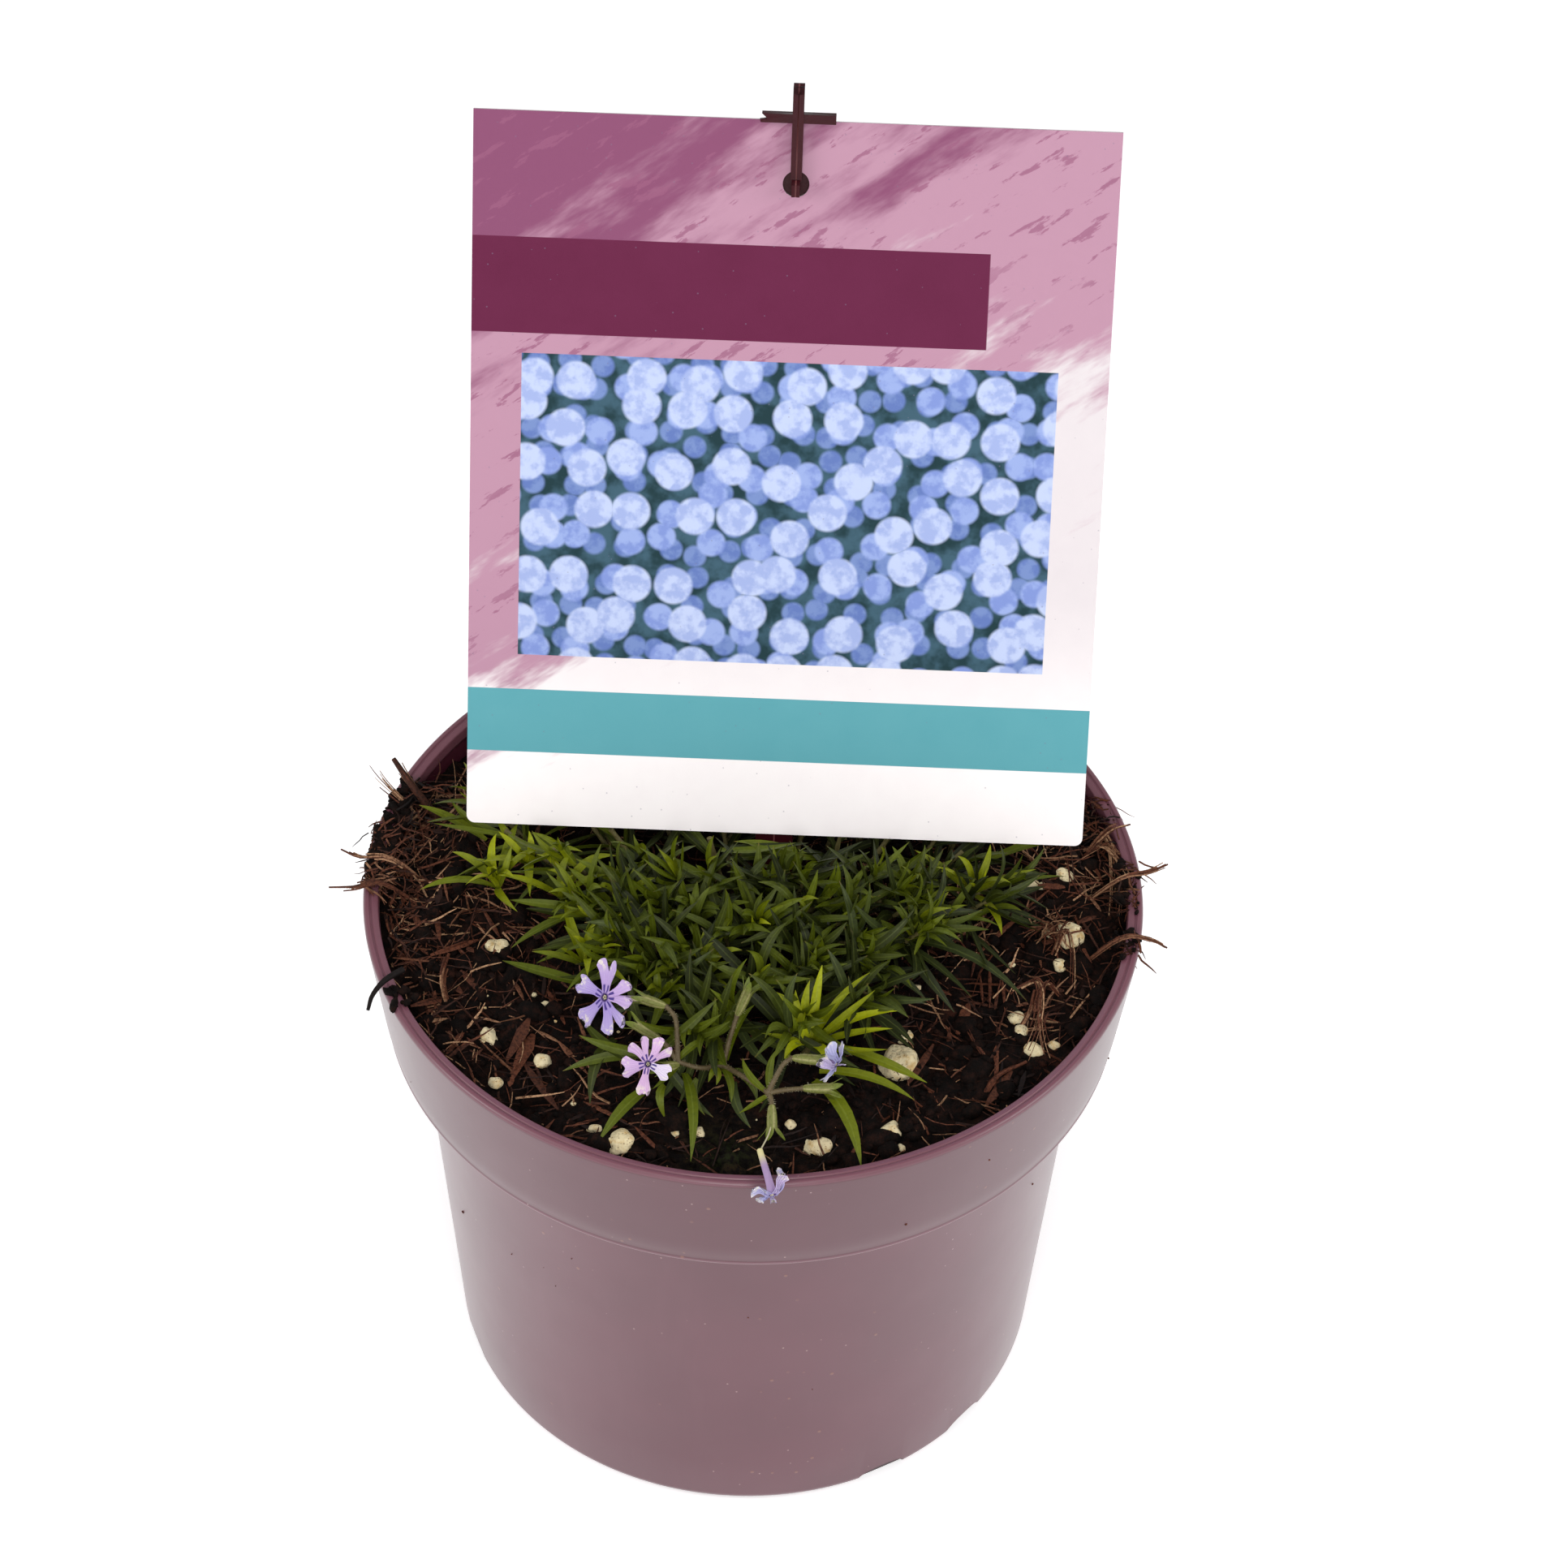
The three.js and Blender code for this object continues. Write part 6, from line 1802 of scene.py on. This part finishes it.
def add_extra_leaves(parts, stem, pairs, runs, draw, age_shift):
    """More leaves up a shoot, kept off the flowers, the card and the soil."""
    for level, pair in enumerate(pairs):
        for side in (0, 1):
            base = stem["start"] + 0.8 + level * (math.pi / 2 + 0.3) + 0.6 * (draw() - 0.5)
            for attempt in range(ADDED_TRIES):
                lift = attempt * 3 + 6 * (draw() - 0.5)
                leaf = leaf_path(stem, pair, side, base + swing(attempt, ADDED_SWING), lift)
                if not leaf_clear(runs, leaf, ADDED_ROOM, ADDED_TESTS):
                    continue
                root, middle, tip, *form = leaf
                droop = min(4 * draw() ** 2, 0.5 * max(0.0, tip[2] - soil_height(tip[0], tip[1]) - 2))
                add_leaf(parts, (root, middle, tip - UP * droop, *form), age_shift + 0.13 * level, draw)
                break


def shoot_age(point):
    """Shoots are younger and brighter at the mat's left than at its heart and its right."""
    edge = math.hypot(point[0], point[1]) / 80
    return 0.42 - 0.12 * edge ** 2 + 0.36 * point[0] / 80 + 0.3 * wave(point[0], point[1], 7, 22)


def add_whorl(parts, base, longest, age, runs, draw):
    """The leaves round one shoot tip: short and upright inside, long and spread outside."""
    start = math.tau * draw()
    for k in range(WHORL_LEAVES):
        share = (k + 1) / WHORL_LEAVES
        lean = math.radians(14 + 62 * share)
        length = longest * (0.5 + 0.5 * share) * (0.85 + 0.3 * draw())
        azimuth = start + k * GOLDEN_ANGLE + 0.4 * draw()
        outward = polar(length * math.sin(lean), azimuth, length * math.cos(lean))
        tip = vec(*base) + outward
        free = not blocked(tip) and not blocked(tip - 0.4 * outward)
        if free and runs.clear([vec(*base), tip], 0.4):
            leaf = straight_leaf(base, tip, LEAF_WIDTH * (0.8 + 0.2 * share), 0.12 * length)
            add_leaf(parts, leaf, age + 0.15 * share, draw)


def add_stem(parts, points, base_radius):
    """A stem from its root to its tip, knotted where old leaves were, thinner towards the tip."""
    run = smooth_run(points, STEM_STEPS)
    count = len(run) - 1
    radii = [base_radius * (1 - 0.35 * k / count) * (1.15 if k % 3 == 0 else 0.95) for k in range(count + 1)]
    along = [0.6 * k / count for k in range(count + 1) for _ in range(STEM_SIDES)]
    parts.add(*tube(run, radii, STEM_SIDES), flush=0.7, along=along)


def added_leaf_obstacles():
    """What the solid model's leaves keep clear of, and the sight of the flowers from in front."""
    runs = fixed_obstacles()
    for bloom in BLOOMS.values():
        centre = vec(*bloom["centre"])
        runs.add([centre, centre + 30 * TO_VIEWER], 0.85 * BLOOM_RADIUS * bloom["size"])
    for base, mouth, _ in CALYCES:
        middle = (vec(*base) + vec(*mouth)) / 2
        runs.add([middle, middle + 20 * TO_VIEWER], 2.5)
    return runs


def build_mat(leaf_material, stalk_material):
    """All leafy shoots: those of the solid model, finer and fuller, and more between them."""
    draw = random_source(515)
    runs = added_leaf_obstacles()
    names = ("along", "across", "age", "tone")
    leaves, filling = Parts(*names), Parts(*names)
    wood = Parts("flush", "along", "membrane")
    stems = grow_mat()
    for stem in stems:
        shift = shoot_age(stem["points"][3])
        add_stem(wood, stem["points"], STEM_RADIUS)
        for leaf, age in stem["leaves"]:
            add_leaf(leaves, leaf, age + shift - 0.1, draw)
        add_extra_leaves(leaves, stem, BETWEEN_PAIRS, runs, draw, shift - 0.05)
    for number in range(EXTRA_SHOOTS):
        share = math.sqrt((number + 0.7) / EXTRA_SHOOTS)
        azimuth = wrapped(number * GOLDEN_ANGLE + 1.1)
        reach = (mat_reach(azimuth) - EXTRA_INSET) * share
        lean = math.radians(4 + 42 * share + 16 * (draw() - 0.5))
        points = stem_points(azimuth, reach, share, lean, 11 + 5 * share + 4 * draw())
        if not runs.clear(points, STEM_RADIUS):
            continue
        stem = {"points": points, "vigour": draw(), "start": math.pi * draw()}
        add_stem(wood, points, 0.8 * STEM_RADIUS)
        add_extra_leaves(filling, stem, EXTRA_PAIRS, runs, draw, shoot_age(points[3]) + 0.02)
    for root, tip, width, age, rise in SINGLE_LEAVES:
        add_leaf(filling, straight_leaf(root, tip, width, rise), age, draw)
    for tip in YOUNG_TIPS:
        add_leaf(filling, straight_leaf(YOUNG_BASE, tip, 2.3, 1.6), 0.1, draw)
    add_stem(wood, YOUNG_STEM, YOUNG_STEM_RADIUS)
    for base, longest, age in WHORLS:
        add_whorl(filling, base, longest, age, runs, draw)
    for root, tip, width in BRACTS:
        add_leaf(filling, straight_leaf(root, tip, width, 0.8), 0.45, draw)
    nodes = [f"shoot_{stem['number'] + 1:02d}" for stem in stems]
    leaves.show("mat_leaves", leaf_material, "leaf", nodes, crease=50)
    filling.show("filling_leaves", leaf_material, "leaf", crease=50)
    wood.show("shoot_stems", stalk_material, "leaf", crease=60)


# ---------------------------------------------------------------- studio

CAMERA_TARGET = (6.7, 0, 183)
CAMERA_DISTANCE = 1161
CAMERA_ELEVATION = 44.7
CAMERA_ROLL = 1.55
CAMERA_FOCAL = 111.8
SENSOR_WIDTH = 36

# Soft round lights, in metres: place, size and power.
LIGHTS = {
    "top": ((0, -0.5, 1.5), 0.6, 1.6),
    "front": ((0, -1.5, 1.15), 0.7, 11.5),
    "left": ((-1.1, -0.3, 0.75), 0.6, 5),
    "right": ((1.1, -0.3, 0.75), 0.6, 5),
}
LIGHT_TARGET = (0, 0, 0.15)
FLOOR_REACH = 4
SKY_STRENGTH = 0.45


def build_camera():
    """A long lens that looks down at the front of the pot, turned a little about its axis."""
    elevation, roll = math.radians(CAMERA_ELEVATION), math.radians(CAMERA_ROLL)
    right = Vector((1, 0, 0))
    up = Vector((0, math.sin(elevation), math.cos(elevation)))
    back = Vector((0, -math.cos(elevation), math.sin(elevation)))
    turned_right = right * math.cos(roll) + up * math.sin(roll)
    turned_up = up * math.cos(roll) - right * math.sin(roll)
    place = (Vector(CAMERA_TARGET) + back * CAMERA_DISTANCE) * MM
    camera = bpy.data.objects.new("camera", bpy.data.cameras.new("camera"))
    camera.data.sensor_width = SENSOR_WIDTH
    camera.data.lens = CAMERA_FOCAL
    facing = Matrix((turned_right, turned_up, back)).transposed().to_4x4()
    camera.matrix_world = Matrix.Translation(place) @ facing
    bpy.context.scene.collection.objects.link(camera)
    bpy.context.scene.camera = camera


def add_soft_light(name, place, size, power):
    """A round light that looks at the pot."""
    data = bpy.data.lights.new(name, "AREA")
    data.shape = "DISK"
    data.size = size
    data.energy = power
    light = bpy.data.objects.new(name, data)
    light.location = place
    light.rotation_euler = (Vector(LIGHT_TARGET) - Vector(place)).to_track_quat("-Z", "Y").to_euler()
    bpy.context.scene.collection.objects.link(light)


def build_studio(floor_material):
    """A white room with four lights, on a pale floor."""
    scene = bpy.context.scene
    scene.view_settings.view_transform = "Standard"
    world = bpy.data.worlds.new("studio")
    world.use_nodes = True
    sky = world.node_tree.nodes["Background"]
    sky.inputs["Color"].default_value = (1.0, 1.0, 1.0, 1.0)
    sky.inputs["Strength"].default_value = SKY_STRENGTH
    scene.world = world
    for name, light in LIGHTS.items():
        add_soft_light(name, *light)
    mesh = bpy.data.meshes.new("floor")
    corners = [(x * FLOOR_REACH, y * FLOOR_REACH, 0) for x, y in ((-1, -1), (1, -1), (1, 1), (-1, 1))]
    mesh.from_pydata(corners, [], [(0, 1, 2, 3)])
    mesh.materials.append(floor_material)
    floor = bpy.data.objects.new("floor", mesh)
    scene.collection.objects.link(floor)


# ---------------------------------------------------------------- the whole model

build_camera()
build_studio(floor_look())
peat, fibre = peat_look(), fibre_look()
stalk, hairs = stalk_look(), hair_look()
build_pot(pot_look())
build_soil(peat)
build_crumbs(peat)
build_litter(fibre)
build_perlite(perlite_look())
build_label(card_look())
build_stake(stake_look())
build_spray(stalk, hairs)
build_blooms(
    petal_look("petal", (174, 160, 212), (160, 142, 206)),
    petal_look("petal_wilted", (188, 188, 218), (168, 166, 212), 1.0),
    tube_look(),
    hairs,
)
build_mat(leaf_look(), stalk)
